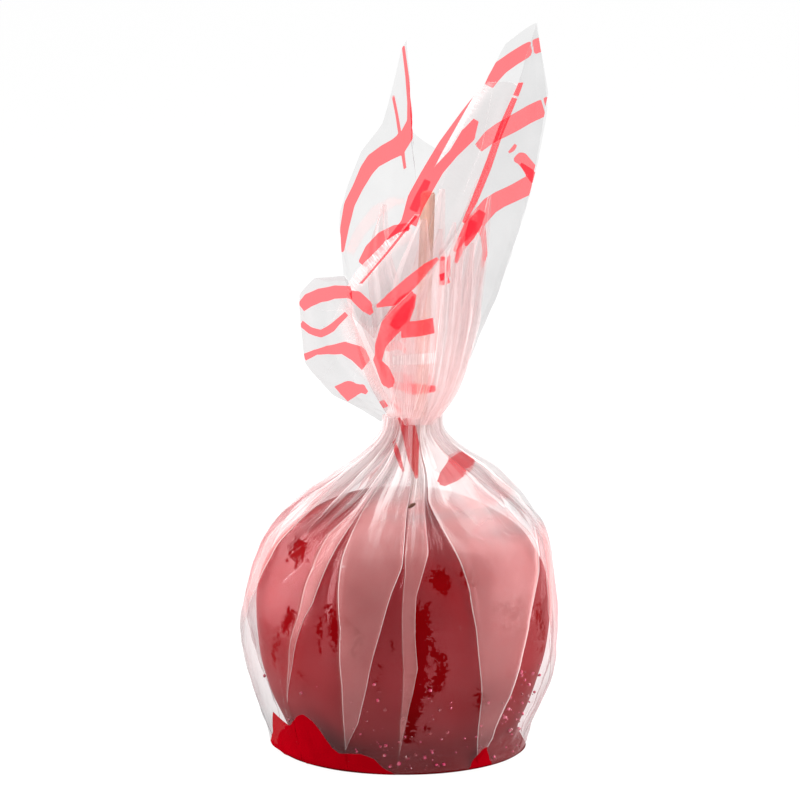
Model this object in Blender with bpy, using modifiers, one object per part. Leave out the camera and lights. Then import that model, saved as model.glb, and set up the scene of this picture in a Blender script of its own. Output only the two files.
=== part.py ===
"""Toffee apple in a clear printed bag, twisted shut at the neck.

The bag is shut, so it is one solid out to the shape of its film: a pleated
body round the apple, a twisted neck, and above it the open mouth, which
flares into two tall ears, a low front edge and a lobe that curls down at one
side. A rumpled core of film fills the middle of the mouth round the stick.

Metres, +Z up. The origin is in the middle of the base, on the surface that
the bag stands on. +X is the side of the tall ear and -Y is the front.
"""

import math
import random

import bpy
from mathutils import Vector

MM = 0.001

# Body: height, and how far the film reaches to the left and right of the axis
BODY_OUTLINE = [
    (0.0, 31.5, 31.0),
    (1.2, 33.2, 32.2),
    (8.5, 35.4, 35.2),
    (20.0, 39.2, 39.8),
    (32.0, 40.8, 40.4),
    (44.0, 38.9, 39.3),
    (56.0, 33.8, 37.2),
    (66.0, 25.6, 31.0),
    (73.0, 16.4, 24.0),
    (78.0, 9.0, 15.6),
    (82.0, 5.4, 11.6),
    (88.0, 4.6, 11.0),
]
DEPTH_OF_WIDTH = 0.97       # the body is a little less deep than it is wide
BODY_SIDES = 72
BODY_LEVELS = 26
FOLDS = 17                  # pleats gathered in to the neck
FOLD_DEPTH = 0.105          # of the radius, at the shoulder
FOLD_SEED = 4

# Neck: the ring that the mouth of the bag springs from
NECK_CENTRE = Vector((3.2, 0.0, 84.0))
NECK_RADIUS = 6.4

# Mouth edge, in order round the bag: place of the edge, and how far the film
# bellies outwards a third and two thirds of the way up to it
MOUTH_EDGE = [
    ((34.5, 1.0, 185.6), 9.0, 14.0),        # tall right ear
    ((27.0, 7.0, 177.0), 6.0, 6.0),
    ((16.5, 12.0, 165.0), 3.0, 5.0),
    ((8.7, 14.0, 155.0), 3.0, 5.0),         # dip at the back
    ((1.5, 13.0, 162.5), 3.0, 5.0),
    ((-0.5, 6.5, 182.0), 4.0, 5.0),         # narrow left ear
    ((-5.5, 8.5, 160.5), 4.0, 7.0),
    ((-12.0, 7.0, 149.5), 4.0, 7.0),
    ((-15.0, 3.0, 136.0), 3.0, 7.0),
    ((-15.5, -3.5, 123.0), 3.0, 5.0),       # where the lobe starts
    ((-21.5, -10.0, 119.0), 3.0, 5.0),
    ((-23.5, -15.5, 108.0), 3.0, 7.0),
    ((-17.0, -17.5, 96.0), 2.0, 8.0),
    ((-5.0, -18.0, 99.0), 2.0, 6.0),
    ((3.0, -18.0, 118.0), 3.0, 4.0),        # slanting front edge
    ((9.0, -16.5, 142.0), 4.0, 4.0),
    ((19.0, -13.0, 163.0), 5.0, 4.0),
    ((29.5, -7.5, 170.0), 6.0, 6.0),
    ((35.5, -3.0, 172.5), 8.0, 12.0),
]
MOUTH_SIDES = 76
MOUTH_LEVELS = 10
FILM_RUN = 102.0            # length of film from the neck to the mouth edge
SLACK_RISE = 0.28           # how much of the film's slack stands up before it turns over
FILM_WALL = 2.4             # wall that stands for the film and its small folds
WALL_GRAIN = 0.7            # the wall's skin where two folds of it meet
WALL_FACES_KEPT = 0.035

# Rumpled film round the stick, in the middle of the mouth
CORE_FOOT = Vector((3.2, 0.0, 80.0))
CORE_TOP = Vector((8.4, -1.0, 141.0))
CORE_RADIUS = 7.0
CORE_TOP_RADIUS = 2.6
CORE_RIDGES = 7
CORE_RIDGE_DEPTH = 0.16
CORE_SIDES = 28
CORE_LEVELS = 12

FILM_COLOUR = (0.86, 0.62, 0.62, 1.0)
FILM_ROUGHNESS = 0.2


def clear_scene():
    """Remove what the file already holds."""
    for old in list(bpy.data.objects):
        bpy.data.objects.remove(old, do_unlink=True)


def new_collection(name):
    """A collection of the given name, linked to the scene."""
    collection = bpy.data.collections.new(name)
    bpy.context.scene.collection.children.link(collection)
    return collection


def film_material():
    """Clear film over a dark red apple, with red stripes."""
    material = bpy.data.materials.new("bag_film")
    material.use_nodes = True
    shader = material.node_tree.nodes["Principled BSDF"]
    shader.inputs["Base Color"].default_value = FILM_COLOUR
    shader.inputs["Roughness"].default_value = FILM_ROUGHNESS
    shader.inputs["Metallic"].default_value = 0.0
    return material


def smooth_between(a, b, c, d, t):
    """Point at t between b and c on a smooth curve through a, b, c and d."""
    return 0.5 * (2.0 * b + (c - a) * t + (2.0 * a - 5.0 * b + 4.0 * c - d) * t * t
                  + (3.0 * b - 3.0 * c + d - a) * t ** 3)


def smooth_through(rows, height):
    """Values of the rows of an outline at a height, on a smooth curve."""
    last = len(rows) - 1
    step = max(i for i in range(last) if rows[i][0] <= height or i == 0)
    t = (height - rows[step][0]) / (rows[step + 1][0] - rows[step][0])
    near = [rows[min(max(step + k, 0), last)] for k in (-1, 0, 1, 2)]
    return [smooth_between(*[row[column] for row in near], t) for column in (1, 2)]


def fold_wave(angle, crests):
    """Uneven pleats round the bag: 1 on a crest and 0 halfway between two."""
    turn = 2.0 * math.pi
    gaps = sorted(((angle - crest) % turn) for crest in crests)
    before = gaps[0]
    after = turn - gaps[-1]
    return abs(after - before) / (after + before)


def rings_to_object(name, rings, collection):
    """A closed solid lofted through rings of equal count, with flat ends."""
    sides = len(rings[0])
    points = [tuple(c * MM for c in point) for ring in rings for point in ring]
    faces = [tuple(reversed(range(sides)))]
    for level in range(len(rings) - 1):
        low = level * sides
        for side in range(sides):
            across = (side + 1) % sides
            faces.append((low + side, low + across, low + sides + across, low + sides + side))
    faces.append(tuple(range(len(points) - sides, len(points))))
    mesh = bpy.data.meshes.new(name)
    mesh.from_pydata(points, [], faces)
    solid = bpy.data.objects.new(name, mesh)
    collection.objects.link(solid)
    return solid


def make_body(collection):
    """The body of the bag, pleated at the shoulder, up to the neck."""
    draw = random.Random(FOLD_SEED)
    pitch = 2.0 * math.pi / FOLDS
    crests = [pitch * (i + draw.uniform(-0.3, 0.3)) for i in range(FOLDS)]
    top = BODY_OUTLINE[-1][0]
    rings = []
    for level in range(BODY_LEVELS + 1):
        part = level / BODY_LEVELS
        height = top * (part ** 1.25 if part < 1.0 else 1.0)
        left, right = smooth_through(BODY_OUTLINE, height)
        middle = (right - left) / 2.0
        radius = (right + left) / 2.0
        depth = FOLD_DEPTH * min(1.0, (height / top) ** 2)
        ring = []
        for side in range(BODY_SIDES):
            angle = 2.0 * math.pi * side / BODY_SIDES
            reach = radius * (1.0 - depth * (1.0 - fold_wave(angle, crests)))
            ring.append((middle + reach * math.cos(angle),
                         reach * DEPTH_OF_WIDTH * math.sin(angle), height))
        rings.append(ring)
    return rings_to_object("bag", rings, collection)


def mouth_row(part):
    """Place of the mouth edge and both bellies, part of the way round the bag."""
    count = len(MOUTH_EDGE)
    step = int(part * count)
    t = part * count - step
    near = [MOUTH_EDGE[(step + k) % count] for k in (-1, 0, 1, 2)]
    place = smooth_between(*[Vector(row[0]) for row in near], t)
    low_belly = smooth_between(*[row[1] for row in near], t)
    high_belly = smooth_between(*[row[2] for row in near], t)
    return place, low_belly, high_belly


def film_point(part, rise):
    """Point on the mouth's film: part of the way round, rise from neck to edge."""
    edge, low_belly, high_belly = mouth_row(part)
    angle = 2.0 * math.pi * part
    outward = Vector((math.cos(angle), math.sin(angle), 0.0))
    foot = NECK_CENTRE + outward * NECK_RADIUS
    slack = max(0.0, FILM_RUN - (edge - foot).length)
    upward = Vector((0.0, 0.0, SLACK_RISE * slack))
    first = foot.lerp(edge, 1.0 / 3.0) + outward * low_belly + upward
    second = foot.lerp(edge, 2.0 / 3.0) + outward * high_belly + upward
    back = 1.0 - rise
    return (foot * back ** 3 + first * (3.0 * back * back * rise)
            + second * (3.0 * back * rise * rise) + edge * rise ** 3)


def make_mouth(collection):
    """The flared mouth, as an open sheet given a wall."""
    points = []
    faces = []
    for level in range(MOUTH_LEVELS + 1):
        for side in range(MOUTH_SIDES):
            point = film_point(side / MOUTH_SIDES, level / MOUTH_LEVELS)
            points.append(tuple(c * MM for c in point))
    for level in range(MOUTH_LEVELS):
        low = level * MOUTH_SIDES
        for side in range(MOUTH_SIDES):
            across = (side + 1) % MOUTH_SIDES
            faces.append((low + side, low + across,
                          low + MOUTH_SIDES + across, low + MOUTH_SIDES + side))
    mesh = bpy.data.meshes.new("mouth")
    mesh.from_pydata(points, [], faces)
    sheet = bpy.data.objects.new("mouth", mesh)
    collection.objects.link(sheet)
    wall = sheet.modifiers.new("wall", 'SOLIDIFY')
    wall.thickness = FILM_WALL * MM
    wall.offset = 0.0
    merged = sheet.modifiers.new("one_skin", 'REMESH')
    merged.mode = 'VOXEL'
    merged.voxel_size = WALL_GRAIN * MM
    fewer = sheet.modifiers.new("fewer_faces", 'DECIMATE')
    fewer.ratio = WALL_FACES_KEPT
    return sheet


def make_core(collection):
    """The rumpled film that stands round the stick."""
    rings = []
    for level in range(CORE_LEVELS + 1):
        part = level / CORE_LEVELS
        middle = CORE_FOOT.lerp(CORE_TOP, part)
        radius = CORE_RADIUS + (CORE_TOP_RADIUS - CORE_RADIUS) * part ** 1.5
        ring = []
        for side in range(CORE_SIDES):
            angle = 2.0 * math.pi * side / CORE_SIDES
            ridge = math.cos(CORE_RIDGES * angle + 2.0 * part)
            reach = radius * (1.0 + CORE_RIDGE_DEPTH * ridge)
            ring.append((middle.x + reach * math.cos(angle),
                         middle.y + reach * math.sin(angle), middle.z))
        rings.append(ring)
    return rings_to_object("core", rings, collection)


def join(solid, other):
    """Union another solid into this one and keep the other as a hidden guide."""
    union = solid.modifiers.new(other.name, 'BOOLEAN')
    union.operation = 'UNION'
    union.solver = 'EXACT'
    union.object = other
    union.use_self = True
    other.hide_render = True
    other.display_type = 'WIRE'


def main():
    clear_scene()
    shown = new_collection("toffee_apple")
    guides = new_collection("guides")
    bag = make_body(shown)
    join(bag, make_mouth(guides))
    join(bag, make_core(guides))
    bag.data.materials.append(film_material())
    bag.data.shade_smooth()
    bag.data.set_sharp_from_angle(angle=math.radians(40.0))


main()
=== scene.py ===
"""Toffee apple in a clear striped bag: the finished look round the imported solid.

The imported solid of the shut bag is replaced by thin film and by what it
holds: a toffee-coated apple, its stick and loose crumbs of toffee.
"""

import math
import random
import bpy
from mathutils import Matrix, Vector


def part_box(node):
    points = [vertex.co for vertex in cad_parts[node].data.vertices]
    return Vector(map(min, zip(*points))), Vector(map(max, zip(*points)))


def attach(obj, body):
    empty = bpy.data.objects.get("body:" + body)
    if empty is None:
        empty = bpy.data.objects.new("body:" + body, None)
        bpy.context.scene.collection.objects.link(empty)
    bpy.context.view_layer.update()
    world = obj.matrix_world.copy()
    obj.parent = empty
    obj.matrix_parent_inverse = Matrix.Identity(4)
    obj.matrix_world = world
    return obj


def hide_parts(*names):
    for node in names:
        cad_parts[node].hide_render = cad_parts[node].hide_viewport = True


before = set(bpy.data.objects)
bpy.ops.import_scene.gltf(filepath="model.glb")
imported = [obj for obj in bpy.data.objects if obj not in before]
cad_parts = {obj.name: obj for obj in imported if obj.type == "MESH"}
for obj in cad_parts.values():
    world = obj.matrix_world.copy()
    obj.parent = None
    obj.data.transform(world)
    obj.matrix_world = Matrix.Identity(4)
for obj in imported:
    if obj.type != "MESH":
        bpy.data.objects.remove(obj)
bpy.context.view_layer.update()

from types import SimpleNamespace

import bpy
import numpy as np
from mathutils import Vector

bl_info = {
    "name": "Bagged Toffee Apple",
    "version": (1, 0, 0),
    "blender": (4, 5, 0),
    "location": "3D View > Sidebar > Toffee Apple",
    "description": "Builds a toffee apple in a clear striped bag",
    "category": "Add Mesh",
}

BODY = "root"
LOW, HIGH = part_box("bag")
DESIGN_HEIGHT = 185.5               # the bag's height in the units used below
MM = (HIGH[2] - LOW[2]) / DESIGN_HEIGHT

# ------------------------------------------------------------------ sizes
# Body: height, and how far the film reaches to the left and right of the axis
BODY_OUTLINE = np.array([
    (0.0, 31.5, 31.0), (1.2, 33.2, 32.2), (8.5, 35.4, 35.2), (20.0, 39.2, 39.8),
    (32.0, 40.8, 40.4), (44.0, 38.9, 39.3), (56.0, 33.8, 37.2), (66.0, 25.6, 31.0),
    (73.0, 16.4, 24.0), (78.0, 9.6, 16.2), (82.0, 5.8, 12.0), (86.0, 4.8, 11.2),
])
DEPTH_OF_WIDTH = 0.955
NECK_HEIGHT = 86.0

# Apple: radius of the toffee at each height, from the foot to the dimple
APPLE_CENTRE = 0.6
APPLE_OUTLINE = np.array([
    (0.1, 31.2), (0.9, 31.6), (4.6, 29.9), (8.0, 31.0), (13.5, 33.5), (19.0, 35.4), (26.0, 37.2),
    (37.6, 38.1), (45.8, 36.8), (51.0, 34.4), (56.7, 30.2), (62.3, 21.5), (65.0, 14.5), (65.6, 10.0),
    (64.5, 5.5), (62.0, 2.4),
])
APPLE_FLANK = APPLE_OUTLINE[:13]    # as far up as the film follows it
APPLE_RIBS = 5
RIB_DEPTH = 0.010                   # of the radius
LUMP_DEPTH = 0.35
LUMP_GRAIN = 14.0

# Folds laid over in the film of the body. Each row of a fold is its height and
# the bearings of its left and right edges, in degrees from the front.
FOLDS = [
    ((14, -170, -170), (34, -172, -165), (52, -173, -160), (66, -176, -156)),
    ((24, -141, -141), (42, -143, -136), (56, -145, -130), (66, -147, -128)),
    ((6, -112, -112), (28, -113, -107), (50, -115, -98), (66, -117, -96)),
    ((20, -80, -80), (36, -79, -74), (52, -78, -66), (66, -80, -62)),
    ((17, -49.2, -49.2), (28, -44.5, -42.5), (34, -43.4, -40.5), (40, -41, -38), (44, -40.6, -35.2),
     (48, -40.6, -34.2), (53, -39.6, -33), (60, -39.3, -31.1), (66, -33, -29)),
    ((6, -24.2, -24.2), (14, -23.5, -17.4), (24, -22.4, -12.9), (38, -22.5, -7.4), (48, -25.9, -4.3),
     (54, -27.5, -1.8), (67, -28.5, -2.6)),
    ((5, -0.2, -0.2), (15, -0.4, 1.8), (19, 0, 2.7), (29, 1.2, 6.2), (37, 0.8, 5.4), (47, 0.1, 5.1),
     (52, -0.3, 6.6), (57, -1.2, 8.4), (67, -1.2, 7.6)),
    ((1, 38, 38), (8, 34.5, 41.7), (17, 31.5, 43), (25, 30.4, 46.7), (38, 28.9, 54.7), (48, 26.1, 62.3),
     (54, 22.5, 66), (59, 18.8, 67.5), (64, 14.5, 68), (68, 10.1, 66)),
    ((30, 71, 71), (42, 71, 76.5), (54, 74, 84), (66, 78, 90)),
    ((8, 101, 101), (28, 100, 105), (50, 98, 112), (66, 96, 112)),
    ((22, 133, 133), (40, 132, 138), (56, 130, 145), (66, 126, 146)),
]
PANEL_COLUMNS = 38
FOLD_COLUMNS = 9                    # in each of a fold's three layers
BODY_ROWS = 122
UNDERSIDE_ROWS = 7
LAYER_LIFT = 0.30                   # between the layers of a fold
FULL_FOLD = 9.0                     # degrees: a fold this wide has nearly its whole lift
EDGE_LEAN = 0.35                    # degrees that each edge of a fold stands out
# the edges of a fold get a painted highlight and more cover
FOLD_CREASE = 0.15                  # how strongly a fold's edges are marked, up to this height
FOLD_CREASE_TOP = 70.0
NO_CREASE = -2.0
SKIN_GAP = 0.25                     # least room between film and toffee
FILM_ROUND = 300.0                  # length of film round the body, for its creases
UNDERSIDE_RISE = 0.12
NECK_PLEATS = 27
NECK_PLEAT_DEPTH = 0.62             # of the radius, in the neck
NECK_TWIST = 12.0                   # degrees

CRUMPLE_SEED = 11

# Mouth of the bag. Each sheet is a grid of places (x, y, z) that its film passes
# through. The back, right and under sheets and the lobe have one row for each
# line from the neck to the edge; the sash has one for each line across it.
BACK_SHEET = [
    [(-0.5, -3, 85.4), (-3.1, -4, 94.5), (-7.7, -5, 105), (-12.2, -4, 115.2), (-14.3, -3, 122.8)],
    [(0, 0, 85.1), (-3.6, 0, 97.3), (-8.7, 0, 110.7), (-12.8, 0, 124.9), (-15.3, 0, 138.3)],
    [(0.5, 3, 84.9), (-2.3, 3, 99.4), (-5.6, 3, 116.1), (-9.2, 3, 136), (-9.9, 3, 153.3)],
    [(1, 5, 84.6), (-0.5, 6, 100.7), (-2.3, 6, 120.1), (-3.8, 6, 142), (-4.3, 5, 160.2)],
    [(1.5, 6, 84.5), (0.5, 8, 103), (-0.5, 8, 123.6), (-2.3, 7, 150.9), (0.3, 5, 178)],
    [(2, 7, 84.3), (1.5, 9, 102.8), (1.3, 9, 123.5), (0.5, 8, 152), (1.5, 6, 181.2)],
    [(2.5, 7, 84.3), (2.5, 9, 102.8), (2.8, 9, 122.7), (2.5, 8, 150.7), (2.3, 7, 173.6)],
    [(3.1, 7, 84.3), (4.3, 10, 101.4), (5.1, 11, 119.3), (4.6, 10, 138.8), (3.1, 9, 158)],
    [(3.8, 7, 84.3), (6.1, 11, 101.2), (7.9, 12, 117.8), (8.2, 12, 135.9), (6.4, 11, 154.9)],
    [(4.8, 7, 84.3), (8.4, 11, 100.7), (11, 13, 116.4), (12.5, 13, 134.4), (11.5, 12, 152.1)],
    [(6.1, 6, 84.5), (10.7, 10, 100.6), (14.5, 12, 116.5), (17.1, 12, 139.7), (17.3, 10, 161.2)],
    [(7.1, 5, 84.6), (12.8, 8, 100.4), (17.9, 9, 116.5), (21.9, 9, 142.8), (22.4, 7, 171.8)],
    [(8.2, 4, 84.8), (14.3, 6, 99.9), (20.4, 6, 116.2), (25.8, 6, 144.6), (26.5, 4, 180.2)],
    [(9.2, 3, 85.2), (15.8, 4, 99.7), (22.9, 3, 115.9), (31.1, 3, 145), (34.2, 2, 185.7)],
    [(10.5, 0, 86.2), (16.8, 1, 98.7), (24.7, 0, 117.4), (32.9, 0, 142.9), (37.2, 0, 168.2)],
]
RIGHT_SHEET = [
    [(6.1, -5, 86.2), (9.2, -9, 101.8), (11.2, -10, 120), (18.4, -12, 142.5), (25, -10, 158.4),
     (29.6, -8, 171.3)],
    [(7.7, -5, 86.2), (12, -8, 101.6), (15.6, -8, 119.7), (22.2, -9, 142), (28.1, -7, 158),
     (31.6, -5, 177.5)],
    [(9.2, -4, 86), (14.5, -5, 100.6), (19.9, -5, 118.7), (27, -5, 142.4), (32.1, -4, 158.3),
     (33.1, -2, 182.2)],
    [(10.5, -1, 86.3), (16.8, -1, 99), (24.7, -1, 117.5), (32.9, -1, 143.1), (37, -1, 165),
     (34.2, 0, 186)],
]
SASH_SHEET = [
    [(21.9, -8, 171.5), (24.5, -9, 171.7), (26.8, -9, 171.7), (29.3, -8, 170.8)],
    [(18.4, -9, 168.1), (21.4, -12, 167.3), (24.2, -12, 165.7), (27.3, -9, 164.2)],
    [(15, -10, 163.9), (18.4, -14, 161.9), (21.7, -14, 159.8), (25, -10, 158.4)],
    [(9.7, -10, 156.6), (14, -15, 154.8), (18.1, -16, 151.9), (21.9, -11, 150.1)],
    [(5.1, -10, 148.9), (9.9, -15, 146.6), (14.5, -17, 144.3), (18.6, -12, 142.5)],
    [(2, -10, 143.2), (6.1, -15, 139.9), (10.2, -17, 136.8), (14.3, -13, 134.4)],
    [(0.3, -10, 137), (2.8, -15, 133.2), (5.9, -18, 130), (9.4, -14, 127.3)],
    [(-4.6, -10, 130.8), (-2.3, -15, 128), (0.8, -18, 124.9), (4.1, -15, 121.1)],
    [(-10.7, -10, 124.6), (-7.9, -15, 121.8), (-4.8, -18, 119.2), (-1, -16, 116.3)],
    [(-13.8, -10, 119.5), (-11.2, -14, 117), (-8.4, -17, 114.7), (-5.1, -16, 111.7)],
    [(-12.2, -8, 112.5), (-10.5, -10, 111.2), (-8.7, -12, 109.7), (-6.6, -13, 107.6)],
]
UNDER_SHEET = [
    [(-3.1, -9, 87.3), (-7.7, -12, 95.8), (-10.2, -13, 103), (-11.4, -12, 109.5), (-8.7, -11, 115.4)],
    [(-1, -10, 87.2), (-2, -14, 96.1), (-2.5, -17, 103.6), (-1.5, -17, 112.1), (2, -15, 119.5)],
    [(1, -11, 87.1), (1, -15, 96.3), (1, -17, 104.3), (2, -17, 113.4), (5.6, -15, 123.4)],
    [(3.1, -10, 87), (4.6, -14, 96.1), (5.4, -16, 105.5), (6.4, -16, 115.8), (9.2, -14, 126.8)],
    [(5.1, -9, 86.8), (7.7, -12, 95.8), (9.2, -13, 105), (10.2, -13, 116.6), (11.7, -12, 127.5)],
]
LOBE_SHEET = [
    [(-12.2, -8, 113), (-12.2, -11, 116.5), (-12.2, -13, 120), (-13, -12, 122.1), (-14, -8, 123)],
    [(-12, -9, 112.6), (-14, -14, 117), (-15.8, -17, 120.1), (-18.4, -16, 122.5), (-21.4, -12, 122.9)],
    [(-11.7, -10, 112), (-14.8, -17, 115.7), (-17.9, -21, 118.4), (-21.9, -20, 119), (-25.2, -15, 119)],
    [(-11, -10, 110.2), (-14.8, -18, 112.2), (-18.4, -23, 113.8), (-21.7, -22, 112.9),
     (-24.7, -17, 111.3)],
    [(-9.9, -11, 107.8), (-14, -18, 107.8), (-17.6, -23, 107.6), (-20.9, -22, 105.9), (-23.7, -17, 102)],
    [(-8.7, -11, 104.7), (-12, -18, 103.7), (-14.5, -22, 102), (-15.8, -21, 99), (-16.8, -16, 93.9)],
    [(-6.9, -11, 100.6), (-9.2, -17, 99.2), (-10.7, -20, 97.3), (-11.5, -19, 94.6), (-12.5, -14, 91.2)],
    [(-4.6, -10, 95.2), (-6.1, -14, 94.1), (-6.9, -16, 92.3), (-7.1, -14, 90.2), (-7.7, -11, 87.9)],
    [(-2, -9, 90.4), (-3.1, -10, 89.3), (-3.6, -11, 88.4), (-4.1, -10, 87), (-4.8, -8, 85.6)],
]
# Long folds of film: places along the middle, from the neck, and the width there
INNER_FOLDS = [
    [(2.5, -6, 84.5, 3.1), (0.5, -10, 95.5, 7.7), (0.5, -11, 106, 8.7), (2, -10, 117.4, 9.2),
     (4.1, -9, 128.1, 7.1), (6.1, -8, 137.2, 1.5)],
    [(4.1, -6, 84.5, 3.1), (6.1, -9, 95.3, 6.6), (7.1, -10, 107.1, 7.1), (8.2, -10, 117.4, 6.6),
     (9.2, -10, 127.2, 4.6), (10.2, -9, 134.8, 0.8)],
    [(5.1, -5, 84.4, 3.1), (9.7, -8, 95.2, 5.1), (11.7, -8, 106.8, 5.6), (12.2, -8, 117.1, 6.1),
     (12.5, -8, 126.9, 4.6), (13.8, -7, 136.3, 0.8)],
    [(6.1, -4, 84.2, 3.1), (11.7, -6, 94.1, 4.6), (14.3, -6, 105.2, 5.6), (15.3, -6, 116.8, 6.1),
     (16.3, -6, 126.6, 5.1), (19.1, -6, 139.5, 1)],
    [(7.1, -2, 83.9, 3.1), (13.3, -3, 93.1, 4.1), (16.3, -3, 103.4, 4.6), (18.4, -3, 115, 5.1),
     (19.9, -3, 125.3, 3.6), (21.4, -3, 134.9, 1)],
    [(3.6, 2, 83.3, 3.6), (4.6, 4, 93.3, 7.7), (5.1, 5, 104.7, 9.2), (6.1, 5, 116.3, 9.7),
     (8.2, 5, 129.2, 6.6), (10.7, 4, 143.6, 1.3)],
    [(5.6, 3, 83.1, 3.6), (10.2, 5, 93.1, 6.6), (12.8, 6, 104.6, 8.2), (14.3, 6, 117.5, 8.7),
     (16.3, 6, 130.4, 6.1), (19.9, 5, 146, 1.3)],
    [(1.5, 3, 83.1, 3.6), (-0.5, 5, 93.1, 7.7), (-2, 6, 104.6, 9.2), (-3.6, 6, 116.2, 8.7),
     (-5.1, 6, 127.8, 5.6), (-4.1, 5, 139.6, 1)],
    [(7.7, 0, 83.6, 2.5), (12.8, -1, 91.5, 3.1), (16.1, -1, 100, 3.1), (17.9, -1, 109.5, 3.1),
     (19.4, -1, 118.6, 2.5), (21.2, -1, 125.8, 1.5)],
    [(3.1, -8, 84.9, 2), (2, -13, 96, 3.6), (3.1, -15, 107.9, 3.6), (4.6, -15, 118.2, 3.1),
     (7.7, -14, 125.3, 2)],
    [(5.1, -7, 84.7, 2), (7.7, -11, 95.7, 3.1), (9.7, -12, 107.4, 3.1), (10.5, -12, 117.7, 3.1),
     (11.2, -11, 129.2, 1.5)],
    [(6.4, -6, 84.5, 2), (10.7, -9, 94.6, 3.1), (13, -9, 106.9, 2.8), (14, -9, 118.6, 3.1),
     (14.8, -9, 132.7, 1.5)],
    [(3.6, -7, 84.7, 2), (4.6, -12, 95.8, 3.1), (6.1, -13, 106.3, 3.1), (7.1, -13, 117.9, 3.1),
     (8.2, -12, 125.5, 2)],
    [(7.1, -4, 84.2, 2), (12.8, -5, 93.9, 2.8), (15.3, -5, 105, 2.8), (17.1, -5, 116.6, 2.8),
     (18.4, -5, 130.8, 1.3)],
    [(6.6, 4, 83, 2.5), (12.2, 7, 92.8, 6.1), (15.8, 8, 104.3, 7.1), (18.4, 8, 117.2, 6.6),
     (20.9, 8, 130.1, 4.1), (22.9, 7, 141.8, 0.8)],
]
NARROW_FOLDS = [
    [(30.1, -9, 171.4, 1.3), (29.1, -9.5, 168.9, 1.5), (26.8, -10.5, 163.7, 1.8), (24.7, -11, 158.6, 2),
     (21.7, -12, 150.2, 2.3), (18.6, -13, 142.7, 2.3), (14.3, -14, 134.6, 2.3), (9.4, -15, 127.8, 2),
     (6.4, -15.5, 124, 1.5)],
    [(4.3, -14.5, 139.1, 1.3), (1.3, -17, 135.8, 1.5), (-2.5, -18.5, 131.1, 1.5),
     (-6.1, -19, 126.9, 1.5), (-9.9, -17, 122, 1.3)],
    [(5.8, -12.5, 119.5, 3.0), (2.8, -12.5, 115.2, 6.5), (0.5, -12.5, 112, 7.5),
     (-1.8, -12.5, 108.5, 6.5), (-3.8, -12.5, 105.7, 4.0)],
]
# Printed stripes as seen from the front: (x, z, width) along the middle of each
BACK_STRIPES = [
    [(22.4, 169.4, 2.5), (23.5, 171.7, 3.3), (25.5, 174.3, 3.6), (28.6, 176.6, 3.6), (31.9, 178.7, 3.6),
     (35.7, 180.5, 3.6)],
    [(19.9, 153.4, 2.5), (22.9, 156.5, 3.6), (25.5, 158.3, 4.1), (28.6, 160.1, 4.3), (33.1, 162.9, 4.3),
     (38, 165.5, 4.3)],
    [(33.9, 145.7, 4.3), (29.3, 142.8, 4.3), (25.5, 140.8, 4.3), (22.9, 138.9, 4.3), (20.4, 135.8, 4.3),
     (18.4, 133.3, 4.1), (15.8, 129.9, 2), (14, 126.6, 1)],
    [(28.8, 151.1, 1.5), (30.9, 151.3, 3.3), (33.1, 148.8, 3.3), (33.9, 146.7, 2)],
    [(27.3, 152.4, 0.5), (29.6, 154.7, 1.5)],
    [(20.4, 134.3, 2.5), (21.4, 130.7, 1.5), (21.7, 126.8, 1.3), (20.9, 123, 0.8)],
    [(0.8, 179.7, 0.8), (1.8, 172, 1), (2.3, 165.3, 1), (2.5, 160.6, 1.5), (1.5, 156.5, 3.6),
     (-0.8, 153.9, 4.8), (-3.6, 152.6, 4.6), (-6.6, 150.8, 4.1), (-8.4, 148.5, 3.6),
     (-10.7, 144.1, 2.8), (-12.8, 140, 2.8), (-14, 134.3, 2.3), (-14.8, 128.1, 1.3)],
    [(-1.8, 167.3, 0.8), (-0.8, 162.2, 0.8), (0.5, 153.9, 1), (1.3, 148.2, 0.8)],
    [(2.3, 133.5, 2), (-1.3, 132.5, 3.1), (-4.3, 130.7, 4.1), (-7.1, 127.9, 4.1), (-9.7, 124.5, 2.5)],
    [(7.1, 145.1, 1.8), (5.1, 141, 2.5), (3.3, 137.4, 2.3)],
]
PALE_STRIPES = [
    [(1.2, 140.2, 1.6), (-2.5, 139.7, 2.6), (-6.1, 137.7, 3.2), (-10.2, 132.8, 3.0), (-12.8, 127.6, 2.4)],
    [(3.4, 131.4, 3.0), (-2.0, 129.6, 3.6), (-6.4, 126.0, 3.0), (-9.8, 122.0, 2.0)],
]
RIGHT_STRIPES = [
    [(10.5, 121.6, 1.9), (12.4, 122.2, 1.9)],
    [(20.6, 139.4, 2.2), (18.9, 136.6, 3.8), (17.6, 133.4, 2.8), (16.4, 130.6, 0.8)],
    [(13.3, 131.5, 0.8), (12.8, 128.1, 0.8)],
    [(30.3, 150.8, 0.8), (32.6, 148.3, 2.3), (34.2, 146.2, 2.5)],
]
SASH_STRIPES = [
    [(-12.4, 119.2, 1.2), (-10.6, 118.0, 3.4), (-8.6, 116.4, 3.4), (-7.0, 114.4, 1.2)],
    [(20.4, 172.1, 0.8), (17.9, 168.7, 1.5), (15, 164.6, 2.3), (12.2, 160.2, 2.8), (9.2, 155.3, 3.3),
     (6.1, 149.6, 3.6), (3.1, 144.5, 3.6), (1.3, 140.6, 3.6), (0.5, 134.9, 3.3)],
    [(18.9, 162.5, 1.5), (16.8, 158.7, 3.8), (13.3, 154.3, 2.3), (9.7, 150.1, 2.5), (6.6, 145.2, 3.1),
     (4.1, 141.1, 3.6), (2.5, 136.5, 3.3)],
    [(9.6, 127.9, 1.4), (6.8, 125.8, 2.8), (2.7, 122.2, 3.6), (-2, 118.1, 3.6),
     (-5.9, 116.3, 0.8)],
    [(2.3, 136.2, 2), (-1, 135.2, 2.5), (-4.1, 133.4, 3.1)],
]
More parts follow.
